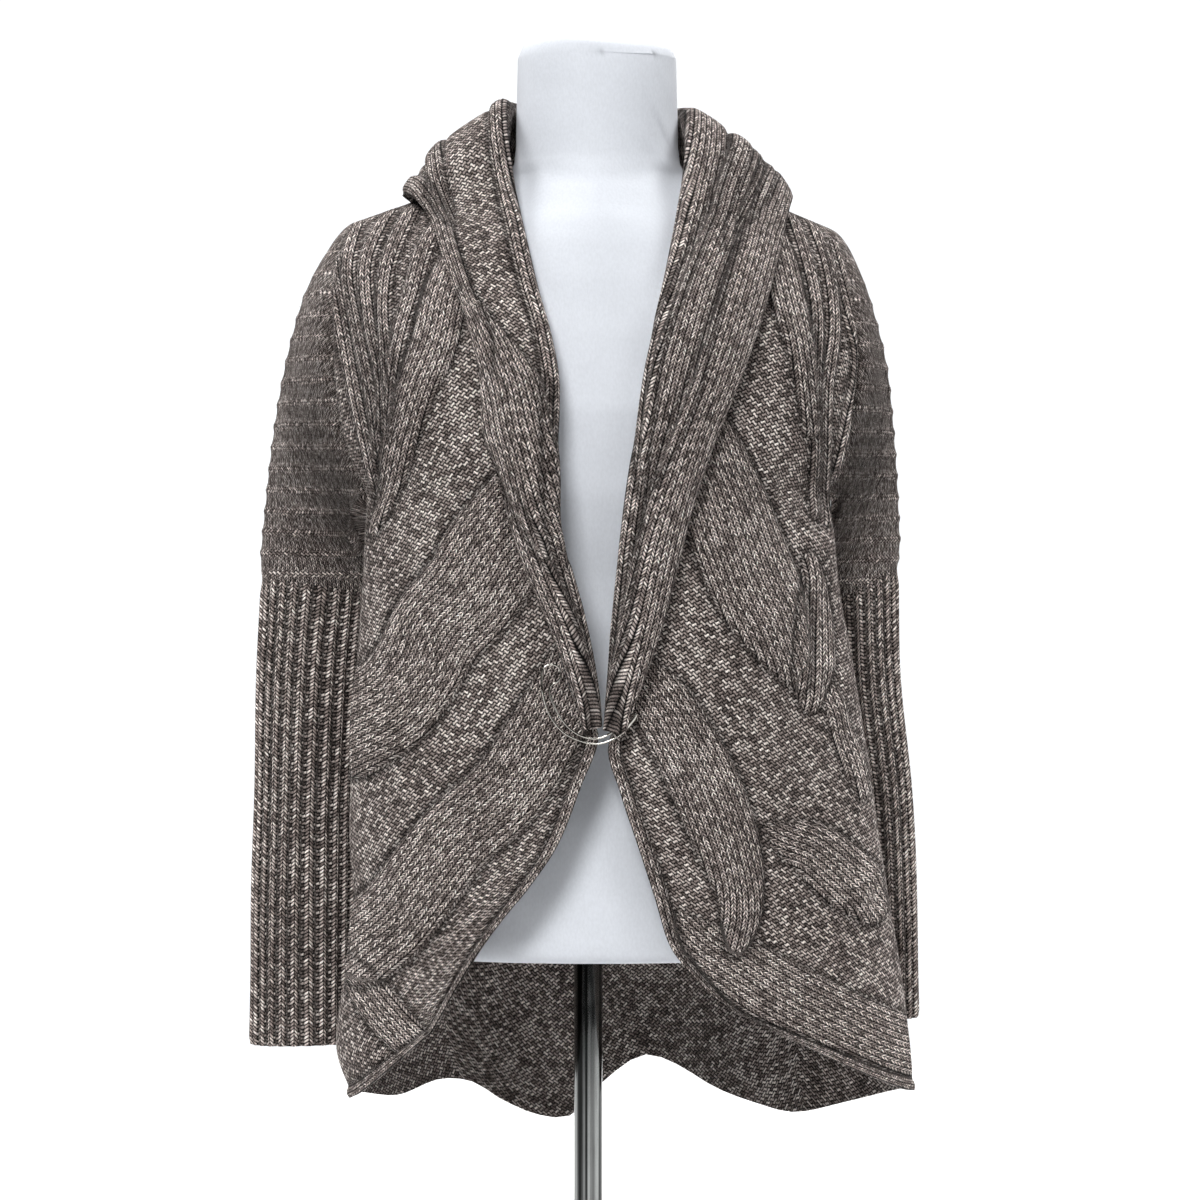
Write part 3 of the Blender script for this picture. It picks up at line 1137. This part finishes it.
def chrome_plate(name, color, dark):
    """Chrome-plated and polished steel: mirror-bright, with fine wipe marks and a
    faint haze of handling."""
    if name in bpy.data.materials:
        return bpy.data.materials[name]
    material, tree, shader = new_finish(name, Metallic=1.0)
    place = add_node(tree, "ShaderNodeTexCoord").outputs["Object"]
    long = add_node(tree, "ShaderNodeMapping", {"Vector": place, "Scale": (1.0, 1.0, 0.06)})
    # Wipe marks of about 0.5 mm across, drawn at 2 mm so that they show.
    wipe = add_node(tree, "ShaderNodeTexNoise", {"Vector": long.outputs[0],
                                                 "Scale": 500.0, "Detail": 3.0})
    haze = add_node(tree, "ShaderNodeTexNoise", {"Vector": place, "Scale": 30.0,
                                                 "Detail": 3.0})
    marks = add_node(tree, "ShaderNodeMath", {0: wipe.outputs[0], 1: haze.outputs[0]},
                     operation="MULTIPLY").outputs[0]
    rough = add_node(tree, "ShaderNodeMapRange", {"Value": marks, "From Min": 0.12,
                                                  "From Max": 0.42, "To Min": 0.05,
                                                  "To Max": 0.22}).outputs[0]
    tree.links.new(rough, shader.inputs["Roughness"])
    # Drawn lengthwise, the tube holds dark and bright lines some 3 mm apart.
    line = add_node(tree, "ShaderNodeMapping", {"Vector": place, "Scale": (1.0, 0.4, 0.004)})
    drawn = add_node(tree, "ShaderNodeTexNoise", {"Vector": line.outputs[0],
                                                  "Scale": 210.0, "Detail": 2.0})
    tint = add_node(tree, "ShaderNodeMapRange", {"Value": drawn.outputs[0],
                                                 "From Min": 0.42, "From Max": 0.6,
                                                 "To Min": dark, "To Max": 1.0}).outputs[0]
    shade = add_node(tree, "ShaderNodeVectorMath", {0: tuple(color), "Scale": tint},
                     operation="SCALE").outputs[0]
    tree.links.new(shade, shader.inputs["Base Color"])
    bump = add_node(tree, "ShaderNodeBump", {"Strength": 0.06, "Distance": 0.0002,
                                             "Height": wipe.outputs[0]})
    tree.links.new(bump.outputs[0], shader.inputs["Normal"])
    return material


def loose_wool():
    """Single wool fibres that stand off the yarn and catch the light."""
    name = "loose_wool_fibre"
    if name in bpy.data.materials:
        return bpy.data.materials[name]
    knit = bpy.context.scene.cardigan_knit
    material, tree, shader = new_finish(name, Roughness=0.6, IOR=1.54,
                                        Sheen_Weight=0.3)
    place = add_node(tree, "ShaderNodeTexCoord").outputs["Object"]
    tone = add_node(tree, "ShaderNodeTexNoise", {"Vector": place, "Scale": 300.0})
    shade = add_node(tree, "ShaderNodeMix", {"Factor": tone.outputs[0],
                                             6: (*knit.middle, 1.0),
                                             7: (*knit.light, 1.0)}, data_type="RGBA")
    tree.links.new(shade.outputs[2], shader.inputs["Base Color"])
    return material


# ---------------------------------------------------------------- pieces

SIDES = ((-1, "left"), (1, "right"))


class CARDIGAN_OT_fronts(Operator):
    """Knit both fronts with their cables, shoulder ribs and rolled edges"""
    bl_idname = "cardigan.fronts"
    bl_label = "Fronts"

    def execute(self, context):
        made = cloth()
        rows = row_places()[:, None]
        for side, word in SIDES:
            grid = made["fronts"][side]
            stitches = panel_stitches(grid)
            x = grid[..., 0]
            z = grid[..., 2]
            lay_strands(stitches, x, z, FRONT_STRANDS[side])
            columns = np.arange(grid.shape[1])[None]
            beside = np.linalg.norm(grid - grid[:, -1:], axis=-1)
            below = np.linalg.norm(grid - grid[-1:], axis=-1)
            distance = np.minimum(beside, below)
            free = smooth_step(COLLAR_LAST_ROW - 0.2, COLLAR_LAST_ROW + 0.3, rows)
            down = np.broadcast_to(run_length(grid[:, -1])[:, None], x.shape)
            along = np.where(beside < below, down, -run_length(grid, 1))
            width = 10.0 if side == 1 else 9.0
            stitches.add(np.where(free > 0.3, width - distance, -1e3),
                         edge_roll(distance, width, 3.9) * free + 1e-3, distance, along)
            height = stitches.relief() - pucker_depth(x, z, PUCKERS[side])
            height += crease_height(x, z, CREASES[side])
            height *= smooth_step(-0.1, 0.5, rows) * smooth_step(0, 7, columns)
            at_pin = smooth_step(-62, -45, x) * smooth_step(48, 32, x)
            at_pin = at_pin * smooth_step(400, 414, z) * smooth_step(498, 484, z)
            height -= at_pin * np.maximum(height - 3.0, 0.0)
            seam = 1 - smooth_step(COLLAR_LAST_ROW - 0.3, COLLAR_LAST_ROW + 0.1, rows)
            height *= 1 - seam * smooth_step(16, 10, FRONT_COLUMNS - columns)
            thickness = np.maximum(WALL + height, THINNEST) * underarm_share(side, grid)
            piece = shell("front_%s_knit" % word, grid, made["front_n"][side], thickness,
                          False, stitches, wool_knit())
            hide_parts("front_" + word)
        return {"FINISHED"}


class CARDIGAN_OT_back(Operator):
    """Knit the back with its cables and rolled hem"""
    bl_idname = "cardigan.back"
    bl_label = "Back"

    def execute(self, context):
        made = cloth()
        grid = made["back"]
        rows = row_places()[:, None]
        last = grid.shape[1] - 1
        columns = np.arange(last + 1)[None]
        stitches = panel_stitches(grid)
        x = grid[..., 0]
        z = grid[..., 2]
        lay_strands(stitches, x, z, BACK_STRANDS)
        below = np.linalg.norm(grid - grid[-1:], axis=-1)
        stitches.add(6.0 - below, edge_roll(below, 6.0, 2.6) + 1e-3, below,
                     run_length(grid, 1))
        height = stitches.relief() + crease_height(x, z, CREASES[0])
        height *= smooth_step(0.0, 1.2, rows)
        height *= smooth_step(0, 7, np.minimum(columns, last - columns))
        thickness = np.maximum(WALL + height, THINNEST)
        thickness *= underarm_share(-1, grid) * underarm_share(1, grid)
        piece = shell("back_knit", grid, made["back_n"], thickness, False, stitches,
                      wool_knit())
        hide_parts("back")
        return {"FINISHED"}


def body_front(side, x, z, lift):
    """Point that stands off a front's inner surface."""
    return np.array([x, float(front_y(side, np.float64(x), np.float64(z))) - lift, z])


def collar_sinking(row):
    """Share of a collar's lift that is left towards its foot, where it thins out."""
    return 1 - 0.45 * float(smooth_step(8.6, 9.9, row))


def collar_line(side, row, first):
    """Fold line or free edge of a collar at a row."""
    table = COLLAR_ROWS[side]
    x = float(curve_value([(r[0], r[first]) for r in table], row, 1))
    z = float(curve_value([(r[0], r[first + 2]) for r in table], row, 1))
    lift = COLLAR_LIFT_FOLD if first == 1 else COLLAR_LIFT_EDGE
    lift *= collar_sinking(row)
    known = [line for line in table if line[first + 1] is not None]
    free = [line for line in table if line[first + 1] is None][0]
    if row >= free[0]:
        return body_front(side, x, z, lift)
    meeting = body_front(side, free[first], free[first + 2], lift)
    depths = [(line[0], line[first + 1]) for line in known] + [(free[0], meeting[1])]
    return np.array([x, float(curve_value(depths, row, 1)), z])


def collar_places():
    """Rows of a collar: round the back of the neck, then down a front."""
    rows = row_places()
    return np.concatenate([-4 + np.arange(COLLAR_BACK_STEPS) * 4 / COLLAR_BACK_STEPS,
                           rows[rows <= COLLAR_LAST_ROW]])


def collar_seam(side):
    """Points, normals and outward ways of the neck seam that a collar is sewn to."""
    made = cloth()
    back = made["back"]
    centre = BACK_SHOULDER_COLUMNS + BACK_NECK_COLUMNS / 2
    reach = BACK_NECK_COLUMNS / 2
    columns = centre + side * reach * np.arange(COLLAR_BACK_STEPS) / COLLAR_BACK_STEPS
    low = np.clip(np.floor(columns).astype(int), 0, back.shape[1] - 2)
    part = (columns - low)[:, None]

    def between(values):
        return values[low] * (1 - part) + values[low + 1] * part

    rear_normal = unit(between(made["back_n"][0]))
    rear = between(back[0]) + rear_normal * WALL
    rear_away = unit(between(back[0] - back[1]))
    count = int((row_places() <= COLLAR_LAST_ROW).sum())
    front = made["fronts"][side][:count]
    front_normal = made["front_n"][side][:count, -1]
    points = np.concatenate([rear, front[:, -1] + front_normal * WALL])
    normals = np.concatenate([rear_normal, front_normal])
    away = np.concatenate([rear_away, unit(front[:, -1] - front[:, -2])])
    return points, normals, away


def collar_grid(side, seam_points):
    """Hollow-side points of a collar, from its seam round the fold to its edge."""
    grid = []
    for row, seam in zip(collar_places(), seam_points):
        fold = collar_line(side, row, 1)
        edge = collar_line(side, row, 4)
        middle = (fold + edge) / 2
        settle = float(smooth_step(0.7, 1.3, row))
        away = unit(middle * np.array([1.0, 1.0, 0.0])) + np.array([0.0, 0.0, 0.7])
        loose = middle + unit(away) * 10.0
        held = body_front(side, middle[0], middle[2],
                          COLLAR_LIFT_MID * collar_sinking(row))
        middle = loose + (held - loose) * settle
        inward = unit(fold - (middle + seam) / 2)
        share = min(1.0, float(np.linalg.norm(fold - edge)) / FOLD_WIDTH)
        radius = FOLD_RADIUS * share
        start = fold - inward * (WALL + 1.5 * share)
        apart = middle - seam
        apart = unit(apart - (apart @ inward) * inward)
        under = start - inward * radius - apart * radius * 0.9
        over = start - inward * radius + apart * radius * 0.9
        grid.append(spline([seam, under, start, over, middle, edge], COLLAR_CELLS))
    return np.array(grid)


class CARDIGAN_OT_collar(Operator):
    """Knit both halves of the rolled shawl collar with their strands"""
    bl_idname = "cardigan.collar"
    bl_label = "Shawl Collar"

    def execute(self, context):
        fold_column = sum(COLLAR_CELLS[:2])
        places = collar_places()
        for side, word in SIDES:
            seam, seam_normals, away = collar_seam(side)
            grid = collar_grid(side, seam)
            normals = grid_normals(grid, False, np.array([0, -1.0, 0]))
            middle = grid.shape[0] // 2
            if normals[middle, -20] @ np.array([0, -1.0, 0]) < 0:
                normals = -normals
            lean(normals, 0, unit(-seam_normals), 4, 1)
            normals[0, :, 0] = 0.0
            normals[0] = unit(normals[0])
            grid[:, 0] += away * SEAM_GAP
            along = run_length(grid[:, grid.shape[1] * 2 // 3])[:, None]
            along = np.broadcast_to(along, grid.shape[:2])
            across = run_length(grid, 1)
            across = across - across[:, fold_column:fold_column + 1]
            length = across[:, -1:]
            stitches = Stitches(across, along)
            for height, table in COLLAR_ROLLS[side]:
                row = places[:, None]
                centre = curve_value(table, row, 1)
                half = curve_value(table, row, 2)
                fade = smooth_step(table[0][0] - 0.6, table[0][0] + 0.1, row)
                fade = fade * (1 - smooth_step(table[-1][0] - 0.1, table[-1][0] + 0.6, row))
                half = half * np.sqrt(np.maximum(fade, 0.02))
                distance = across - centre * length
                ratio = np.abs(distance) / half
                rise = fade * height * np.sqrt(np.clip(1 - ratio**2.4, 0.0, 1.0))
                inside = np.where(fade > 0.05, half - np.abs(distance), -1e3)
                stitches.add(inside, rise, distance, along, 1.2)
            height = stitches.relief() * smooth_step(fold_column - 6, fold_column + 4,
                                                     np.arange(grid.shape[1]))[None]
            edge = length - across
            height = height * smooth_step(-1.0, 3.0, edge)
            thickness = np.maximum(WALL + height, 1.2)
            piece = shell("collar_%s_knit" % word, grid, normals, thickness, False,
                          stitches, wool_knit())
            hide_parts("collar_" + word)
        return {"FINISHED"}


class CARDIGAN_OT_upper_sleeves(Operator):
    """Knit the upper sleeves with their purl ridges and soft creases"""
    bl_idname = "cardigan.upper_sleeves"
    bl_label = "Upper Sleeves"

    def execute(self, context):
        made = cloth()
        for side, word in SIDES:
            grid = made["uppers"][side]
            count = grid.shape[1]
            across = run_length(np.concatenate([grid, grid[:, :1]], axis=1), 1)[:, :count]
            along = run_length(grid, 0)
            low = np.broadcast_to(grid[..., 2], along.shape)
            down = grid[0, 0, 2] - low
            whole = across[:, -1:] + np.linalg.norm(grid[:, -1] - grid[:, 0], axis=-1)[:, None]
            across = np.where(np.arange(count)[None] > count // 2, across - whole, across)
            stitches = Stitches(across * 1.25, down * 1.12)
            # Between two purl ridges lie four smooth rows.
            phase = np.mod(down / GARTER_PITCH, 1.0)
            ridge = np.exp(-((phase - 0.5) / 0.17) ** 2)
            fade = smooth_step(20, 60, along)
            purl = ridge > 0.4
            stitches.inside = np.where(purl, -2.0, 2.0)
            stitches.groove = 0.5 * (1 - ridge)
            share = (np.arange(count) / count)[None]
            part = (np.arange(grid.shape[0]) / (grid.shape[0] - 1))[:, None]
            crease = np.zeros(grid.shape[:2])
            girth = np.linalg.norm(np.diff(grid, axis=1), axis=-1).sum(axis=1)[:, None]
            for start, first, end, last, width, height in SLEEVE_CREASES[side]:
                centre = start + (end - start) * np.clip((part - first) / (last - first),
                                                         0, 1)
                gap = np.mod(share - centre + 0.5, 1.0) - 0.5
                fall = smooth_step(first - 0.1, first + 0.15, part)
                fall = fall * smooth_step(last + 0.1, last - 0.1, part)
                crease += height * fall * np.exp(-(gap * girth / width) ** 2 * 1.4)
            near = smooth_step(0, 0.06, part) * smooth_step(1.0, 0.95, part)
            thickness = WALL + (1.2 * ridge * fade + crease) * near
            thickness = np.maximum(thickness, THINNEST) * underarm_share(side, grid)
            piece = shell("sleeve_upper_%s_knit" % word, grid, made["upper_n"][side],
                          thickness, True, stitches, wool_knit())
            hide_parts("sleeve_upper_" + word)
        return {"FINISHED"}


class CARDIGAN_OT_ribbed_sleeves(Operator):
    """Knit the ribbed lower sleeves and cuffs"""
    bl_idname = "cardigan.ribbed_sleeves"
    bl_label = "Ribbed Sleeves"

    def execute(self, context):
        made = cloth()
        knit = context.scene.cardigan_knit
        for side, word in SIDES:
            grid = made["lowers"][side]
            count = grid.shape[1]
            per_rib = count / SLEEVE_RIBS
            phase = np.mod(np.arange(count) / per_rib + 0.5, 1.0)[None] - 0.5
            along = run_length(grid, 0)
            ones = np.ones(grid.shape[:2])
            number = np.floor(np.arange(count) / per_rib + 0.5)[None]
            across = (phase * RIB_STITCHES + 0.5 + 4 * number) * knit.wale / MM * ones
            stitches = Stitches(across, along)
            stitches.inside = np.where(np.abs(phase) < 0.37, 2.0, -2.0) * ones
            rib = np.cos(phase * 2 * math.pi)
            rib = np.sign(rib) * np.abs(rib) ** 0.7
            low = grid[..., 2]
            sag = 0.5 * np.sin(low / 23.0 + 2.0 * np.sin(np.arange(count) / 31.0)[None])
            near = smooth_step(0, 5, np.arange(grid.shape[0]))[:, None]
            stitches.groove = 0.9 * smooth_step(0.3, 0.46, np.abs(phase)) * ones
            thickness = WALL - 0.1 + 1.7 * rib * ones * near + sag * near * 0.6
            cuff = np.arange(grid.shape[0])[::-1][:, None]
            thickness *= 0.75 + 0.25 * smooth_step(0, 2, cuff)
            piece = shell("sleeve_rib_%s_knit" % word, grid, made["lower_n"][side],
                          thickness, True, stitches, wool_knit())
            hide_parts("sleeve_rib_" + word)
        return {"FINISHED"}


class CARDIGAN_OT_dress_form(Operator):
    """Make the limbless dress form in its stretched jersey cover"""
    bl_idname = "cardigan.dress_form"
    bl_label = "Dress Form"

    def execute(self, context):
        sides = 132
        table = [(-row[0], *row[1:]) for row in FORM_SECTIONS]
        heights = []
        for first, second in zip(FORM_SECTIONS, FORM_SECTIONS[1:]):
            steps = max(1, round((first[0] - second[0]) / 5.0))
            heights += list(np.linspace(first[0], second[0], steps, endpoint=False))
        heights = np.array(heights + [FORM_SECTIONS[-1][0]])[:, None]
        angle = (2 * math.pi * np.arange(sides) / sides)[None]
        order = np.interp(-heights[:, 0], [row[0] for row in table],
                          np.arange(len(table)))
        columns = [np.interp(order, np.arange(len(table)), [row[k] for row in table])[:, None]
                   for k in range(1, 5)]
        half, front, rear, power = columns
        exponent = 2 / power
        x = half * np.copysign(np.abs(np.cos(angle)) ** exponent, np.cos(angle))
        over = np.copysign(np.abs(np.sin(angle)) ** exponent, np.sin(angle))
        y = over * np.where(over > 0, rear, front)
        z = heights + 0 * x
        seated = smooth_step(780, 805, z) * smooth_step(85, 105, np.abs(x))
        gap = FORM_CLEARANCE + (FORM_SHOULDER_CLEARANCE - FORM_CLEARANCE) * seated
        lean_back = SHOULDER_Y * smooth_step(760, 800, z) * np.cos(angle) ** 2
        moved = y + np.where(z < NECK_Z, lean_back, 0.0)
        low = np.where(x < 0, front_y(-1, x, z), front_y(1, x, z)) + gap
        high = back_y(x, z) - gap
        middle = (low + high) / 2
        low = np.minimum(low, middle - 0.5)
        high = np.maximum(high, middle + 0.5)
        high_up = smooth_step(740, 790, z)
        under = smooth_step(30, 55, np.abs(x) - 14 * high_up + 5 * high_up**2)
        under = under * smooth_step(844, 826, z)
        held = moved + (np.maximum(moved, low) - moved) * under
        y = y + (np.minimum(held, high) - y) * smooth_step(844, 830, z)
        push = np.where(y < 0, crease_height(x, z, FORM_CREASES), 0.0)
        neck = smooth_step(790, 830, z)
        y = y - push * neck
        z = z + np.where(heights > 925, 2.2 * np.cos(x / 19.0 + 2.0) - 4.2, 0.0) * 0.9
        points = np.stack([x, y, z], axis=-1).reshape(-1, 3)
        piece = mesh_piece("dress_form_cover", placed(points),
                           ring_faces(len(heights), sides), form_jersey(), 70.0)
        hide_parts("dress_form")
        return {"FINISHED"}


def turned(name, profile, sides, material):
    """Turn a profile of (radius, height) in millimetres round the post's axis."""
    points = []
    for radius, height in profile:
        for step in range(sides):
            angle = 2 * math.pi * step / sides
            points.append((radius * math.cos(angle), radius * math.sin(angle), height))
    return mesh_piece(name, np.array(points) * MM, ring_faces(len(profile), sides),
                      material, 45.0)


class CARDIGAN_OT_stand(Operator):
    """Make the chrome post and the round base"""
    bl_idname = "cardigan.stand"
    bl_label = "Stand"

    def execute(self, context):
        color = context.scene.cardigan_stand.chrome
        rim = [(BASE_RADIUS - 4 + 4 * math.sin(a), 4 - 4 * math.cos(a))
               for a in np.linspace(0, math.pi / 2, 7)]
        shoulder = [(BASE_RADIUS - 3 + 3 * math.cos(a), 8 + 3 * math.sin(a))
                    for a in np.linspace(0, math.pi / 2, 7)]
        dome = [(r, 11 + 3 * (1 - (r / (BASE_RADIUS - 3)) ** 2)) for r in (110, 80, 50, 26)]
        boss = [(19, 13.6), (17, BASE_HEIGHT), (12, BASE_HEIGHT)]
        base = turned("stand_base_plate", rim + shoulder + dome + boss, 96,
                      chrome_plate("chrome_plated_steel_base", color, 0.5))
        bottom = BASE_HEIGHT + SEAM_GAP
        top = FORM_UNDERSIDE - SEAM_GAP
        inner = POST_RADIUS - 1.0
        post = turned("stand_tube", [
            (inner, bottom), (POST_RADIUS - 0.3, bottom + 0.2),
            (POST_RADIUS, bottom + 0.6), (POST_RADIUS, bottom + 1.2),
            (POST_RADIUS, top - 1.2), (POST_RADIUS, top - 0.6),
            (POST_RADIUS - 0.3, top - 0.2), (inner, top)], 64,
            chrome_plate("chrome_plated_steel_tube", color, 0.06))
        for piece, node in ((base, "stand_base"), (post, "stand_post")):
            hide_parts(node)
        return {"FINISHED"}


class CARDIGAN_OT_pin(Operator):
    """Make the wire pin that holds the fronts together, and the yarn it runs under"""
    bl_idname = "cardigan.pin"
    bl_label = "Pin"

    def execute(self, context):
        depths = [float(front_y(-1 if x < 2 else 1, np.float64(x), np.float64(z)))
                  for x, z in PIN_ARM]
        depth = min(depths) - WALL - CAD_STRAND_HEIGHT - PIN_RADIUS - PIN_CLEARANCE
        path = [(x, depth, z) for x, z in PIN_BACK_ARM]
        start, end = (math.radians(value) for value in PIN_COIL_ANGLES)
        for part in np.arange(PIN_COIL_STEPS + 1) / PIN_COIL_STEPS:
            angle = start + (end - start) * part
            path.append((PIN_COIL_CENTRE[0] + PIN_COIL_RADIUS * math.cos(angle),
                         depth - PIN_COIL_PITCH * part,
                         PIN_COIL_CENTRE[1] + PIN_COIL_RADIUS * math.sin(angle)))
        for x, z in PIN_ARM:
            lift = float(smooth_step(445, 462, z)) if x < -20 else 0.0
            path.append((x, depth - PIN_COIL_PITCH * lift, z))
        path = np.array(path)
        wire = chrome_plate("nickel_plated_steel_wire",
                            context.scene.cardigan_stand.pin, 0.8)
        smooth = spline(path, [3] * (len(path) - 1))
        keep = np.concatenate([[True], np.linalg.norm(np.diff(smooth, axis=0),
                                                      axis=1) > 0.05])
        pin = tube("pin_wire", placed(smooth[keep]), PIN_RADIUS * MM, 12, wire)
        clasp_path = np.array([(x, depth - 0.1, z) for x, z in PIN_CLASP])
        clasp_path = spline(clasp_path, [5, 5, 5])
        swell = 0.5 + 0.5 * np.sin(np.linspace(0.15, math.pi - 0.15, len(clasp_path)))
        clasp = tube("pin_clasp", placed(clasp_path), (1.3 + 0.9 * swell) * MM, 16, wire)
        for piece in (pin, clasp):
            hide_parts("pin")
        for number, (x1, z1, x2, z2) in enumerate(PIN_YARNS):
            middle = ((x1 + x2) / 2, (z1 + z2) / 2)
            bow = [(x1, depth + 2.4, z1), (x1 * 0.75 + x2 * 0.25, depth - 0.6,
                                          z1 * 0.75 + z2 * 0.25),
                   (middle[0], depth - 1.9, middle[1]),
                   (x1 * 0.25 + x2 * 0.75, depth - 0.6, z1 * 0.25 + z2 * 0.75),
                   (x2, depth + 2.4, z2)]
            line = spline(bow, [5] * 4)
            swell = 0.25 + 0.2 * np.sin(np.linspace(0, math.pi, len(line)))
            yarn = tube("pin_yarn_%d" % number, placed(line), swell * MM, 10,
                        loose_wool())
        return {"FINISHED"}


class CARDIGAN_OT_fibres(Operator):
    """Scatter loose wool fibres over the knitted pieces"""
    bl_idname = "cardigan.fibres"
    bl_label = "Loose Fibres"

    def execute(self, context):
        random = np.random.default_rng(11)
        count = context.scene.cardigan_knit.fibres
        names = ["back_knit"]
        for word in ("left", "right"):
            names += ["front_%s_knit" % word, "collar_%s_knit" % word,
                      "sleeve_upper_%s_knit" % word, "sleeve_rib_%s_knit" % word]
        for name in names:
            mesh = bpy.data.objects[name].data
            total = len(mesh.vertices)
            places = np.empty(total * 3, np.float32)
            normals = np.empty(total * 3, np.float32)
            mesh.vertices.foreach_get("co", places)
            mesh.vertex_normals.foreach_get("vector", normals)
            pick = random.integers(0, int(total * 0.88), count)
            root = places.reshape(-1, 3)[pick]
            out = normals.reshape(-1, 3)[pick]
            way = unit(out + random.normal(0, 0.75, (count, 3)))
            bend = unit(random.normal(0, 1, (count, 3)))
            length = random.uniform(1.8, 6.5, (count, 1)) * MM
            beside = unit(np.cross(way, random.normal(0, 1, (count, 3))))
            thick = 0.055 * MM
            points = []
            for part in (0.0, 0.35, 0.7, 1.0):
                centre = root + way * length * part + bend * length * 0.45 * part**2
                width = thick * (1.0 - 0.6 * part)
                points += [centre - beside * width, centre + beside * width]
            points = np.stack(points, axis=1).reshape(-1, 3)
            faces = []
            for number in range(count):
                first = number * 8
                for step in range(0, 6, 2):
                    faces.append((first + step, first + step + 1,
                                  first + step + 3, first + step + 2))
            mesh = bpy.data.meshes.new(name + "_fibres")
            mesh.from_pydata(points.tolist(), [], faces)
            mesh.materials.append(loose_wool())
            piece = bpy.data.objects.new(name + "_fibres", mesh)
            context.scene.collection.objects.link(piece)
            ride_root(piece)
        return {"FINISHED"}


class CARDIGAN_OT_stage(Operator):
    """Set the pale floor, the soft studio light and the camera"""
    bl_idname = "cardigan.stage"
    bl_label = "Stage"

    def execute(self, context):
        scene = context.scene
        stage = scene.cardigan_stage
        material, tree, shader = new_finish("matt_seamless_paper", Roughness=0.95,
                                            Specular_IOR_Level=0.2)
        place = add_node(tree, "ShaderNodeTexCoord").outputs["Object"]
        # Paper tooth of about 0.3 mm, drawn at 3 mm.
        tooth = add_node(tree, "ShaderNodeTexNoise", {"Vector": place, "Scale": 330.0})
        tone = add_node(tree, "ShaderNodeMapRange", {"Value": tooth.outputs[0],
                                                     "To Min": 0.985, "To Max": 1.0})
        shade = add_node(tree, "ShaderNodeVectorMath",
                         {0: tuple(stage.floor), "Scale": tone.outputs[0]},
                         operation="SCALE").outputs[0]
        tree.links.new(shade, shader.inputs["Base Color"])
        turns = np.linspace(0, 2 * math.pi, FLOOR_SIDES, endpoint=False)
        points = [(FLOOR_RADIUS * math.cos(turn), FLOOR_RADIUS * math.sin(turn), 0)
                  for turn in turns]
        mesh = bpy.data.meshes.new("pale_floor")
        mesh.from_pydata(points, [], [tuple(range(FLOOR_SIDES))])
        mesh.materials.append(material)
        floor = bpy.data.objects.new("pale_floor", mesh)
        scene.collection.objects.link(floor)

        world = bpy.data.worlds.new("white_room")
        world.use_nodes = True
        ground = world.node_tree.nodes["Background"]
        ground.inputs["Color"].default_value = (0.97, 0.985, 1.0, 1.0)
        # The walls look white, and send back little of the light.
        ray = add_node(world.node_tree, "ShaderNodeLightPath").outputs["Is Camera Ray"]
        glow = add_node(world.node_tree, "ShaderNodeMapRange", {"Value": ray, "To Min":
                                                                stage.sky, "To Max": 1.1})
        world.node_tree.links.new(glow.outputs[0], ground.inputs["Strength"])
        scene.world = world

        for name, location, target, size, share, beam in LIGHTS:
            lamp = bpy.data.lights.new(name, "AREA")
            lamp.energy = stage.key * share
            lamp.size = size
            lamp.spread = math.radians(beam)
            light = bpy.data.objects.new(name, lamp)
            light.location = location
            way = Vector(target) - Vector(location)
            light.rotation_euler = way.to_track_quat("-Z", "Y").to_euler()
            scene.collection.objects.link(light)

        lens = bpy.data.cameras.new("studio_camera")
        lens.sensor_width = 36.0
        lens.lens = lens.sensor_width * stage.distance / stage.view
        lens.clip_end = 50.0
        camera = bpy.data.objects.new("studio_camera", lens)
        camera.location = (CAMERA_X, -stage.distance, CAMERA_Z)
        camera.rotation_euler = (math.pi / 2, 0, 0)
        scene.collection.objects.link(camera)
        scene.camera = camera
        scene.view_settings.view_transform = "Standard"
        return {"FINISHED"}


class CARDIGAN_PT_pieces(Panel):
    """Lists the pieces and their settings in the sidebar"""
    bl_idname = "CARDIGAN_PT_pieces"
    bl_label = "Cardigan on a Dress Form"
    bl_space_type = "VIEW_3D"
    bl_region_type = "UI"
    bl_category = "Cardigan"

    def draw(self, context):
        for group in (context.scene.cardigan_knit, context.scene.cardigan_stand,
                      context.scene.cardigan_stage):
            box = self.layout.box()
            for name in group.__annotations__:
                box.prop(group, name)
        for operator in PIECES:
            self.layout.operator(operator.bl_idname)


PIECES = (CARDIGAN_OT_dress_form, CARDIGAN_OT_fronts, CARDIGAN_OT_back,
          CARDIGAN_OT_collar, CARDIGAN_OT_upper_sleeves, CARDIGAN_OT_ribbed_sleeves,
          CARDIGAN_OT_stand, CARDIGAN_OT_pin, CARDIGAN_OT_fibres, CARDIGAN_OT_stage)
CLASSES = (KnitSettings, StandSettings, StageSettings, *PIECES, CARDIGAN_PT_pieces)


def register():
    """Add the classes and their settings to Blender."""
    for item in CLASSES:
        bpy.utils.register_class(item)
    bpy.types.Scene.cardigan_knit = PointerProperty(type=KnitSettings)
    bpy.types.Scene.cardigan_stand = PointerProperty(type=StandSettings)
    bpy.types.Scene.cardigan_stage = PointerProperty(type=StageSettings)


def unregister():
    """Take the classes and their settings out of Blender."""
    del bpy.types.Scene.cardigan_stage
    del bpy.types.Scene.cardigan_stand
    del bpy.types.Scene.cardigan_knit
    for item in reversed(CLASSES):
        bpy.utils.unregister_class(item)


def main():
    """Make every piece."""
    register()
    for operator in PIECES:
        family, name = operator.bl_idname.split(".")
        getattr(getattr(bpy.ops, family), name)()


if __name__ == "__main__":
    main()
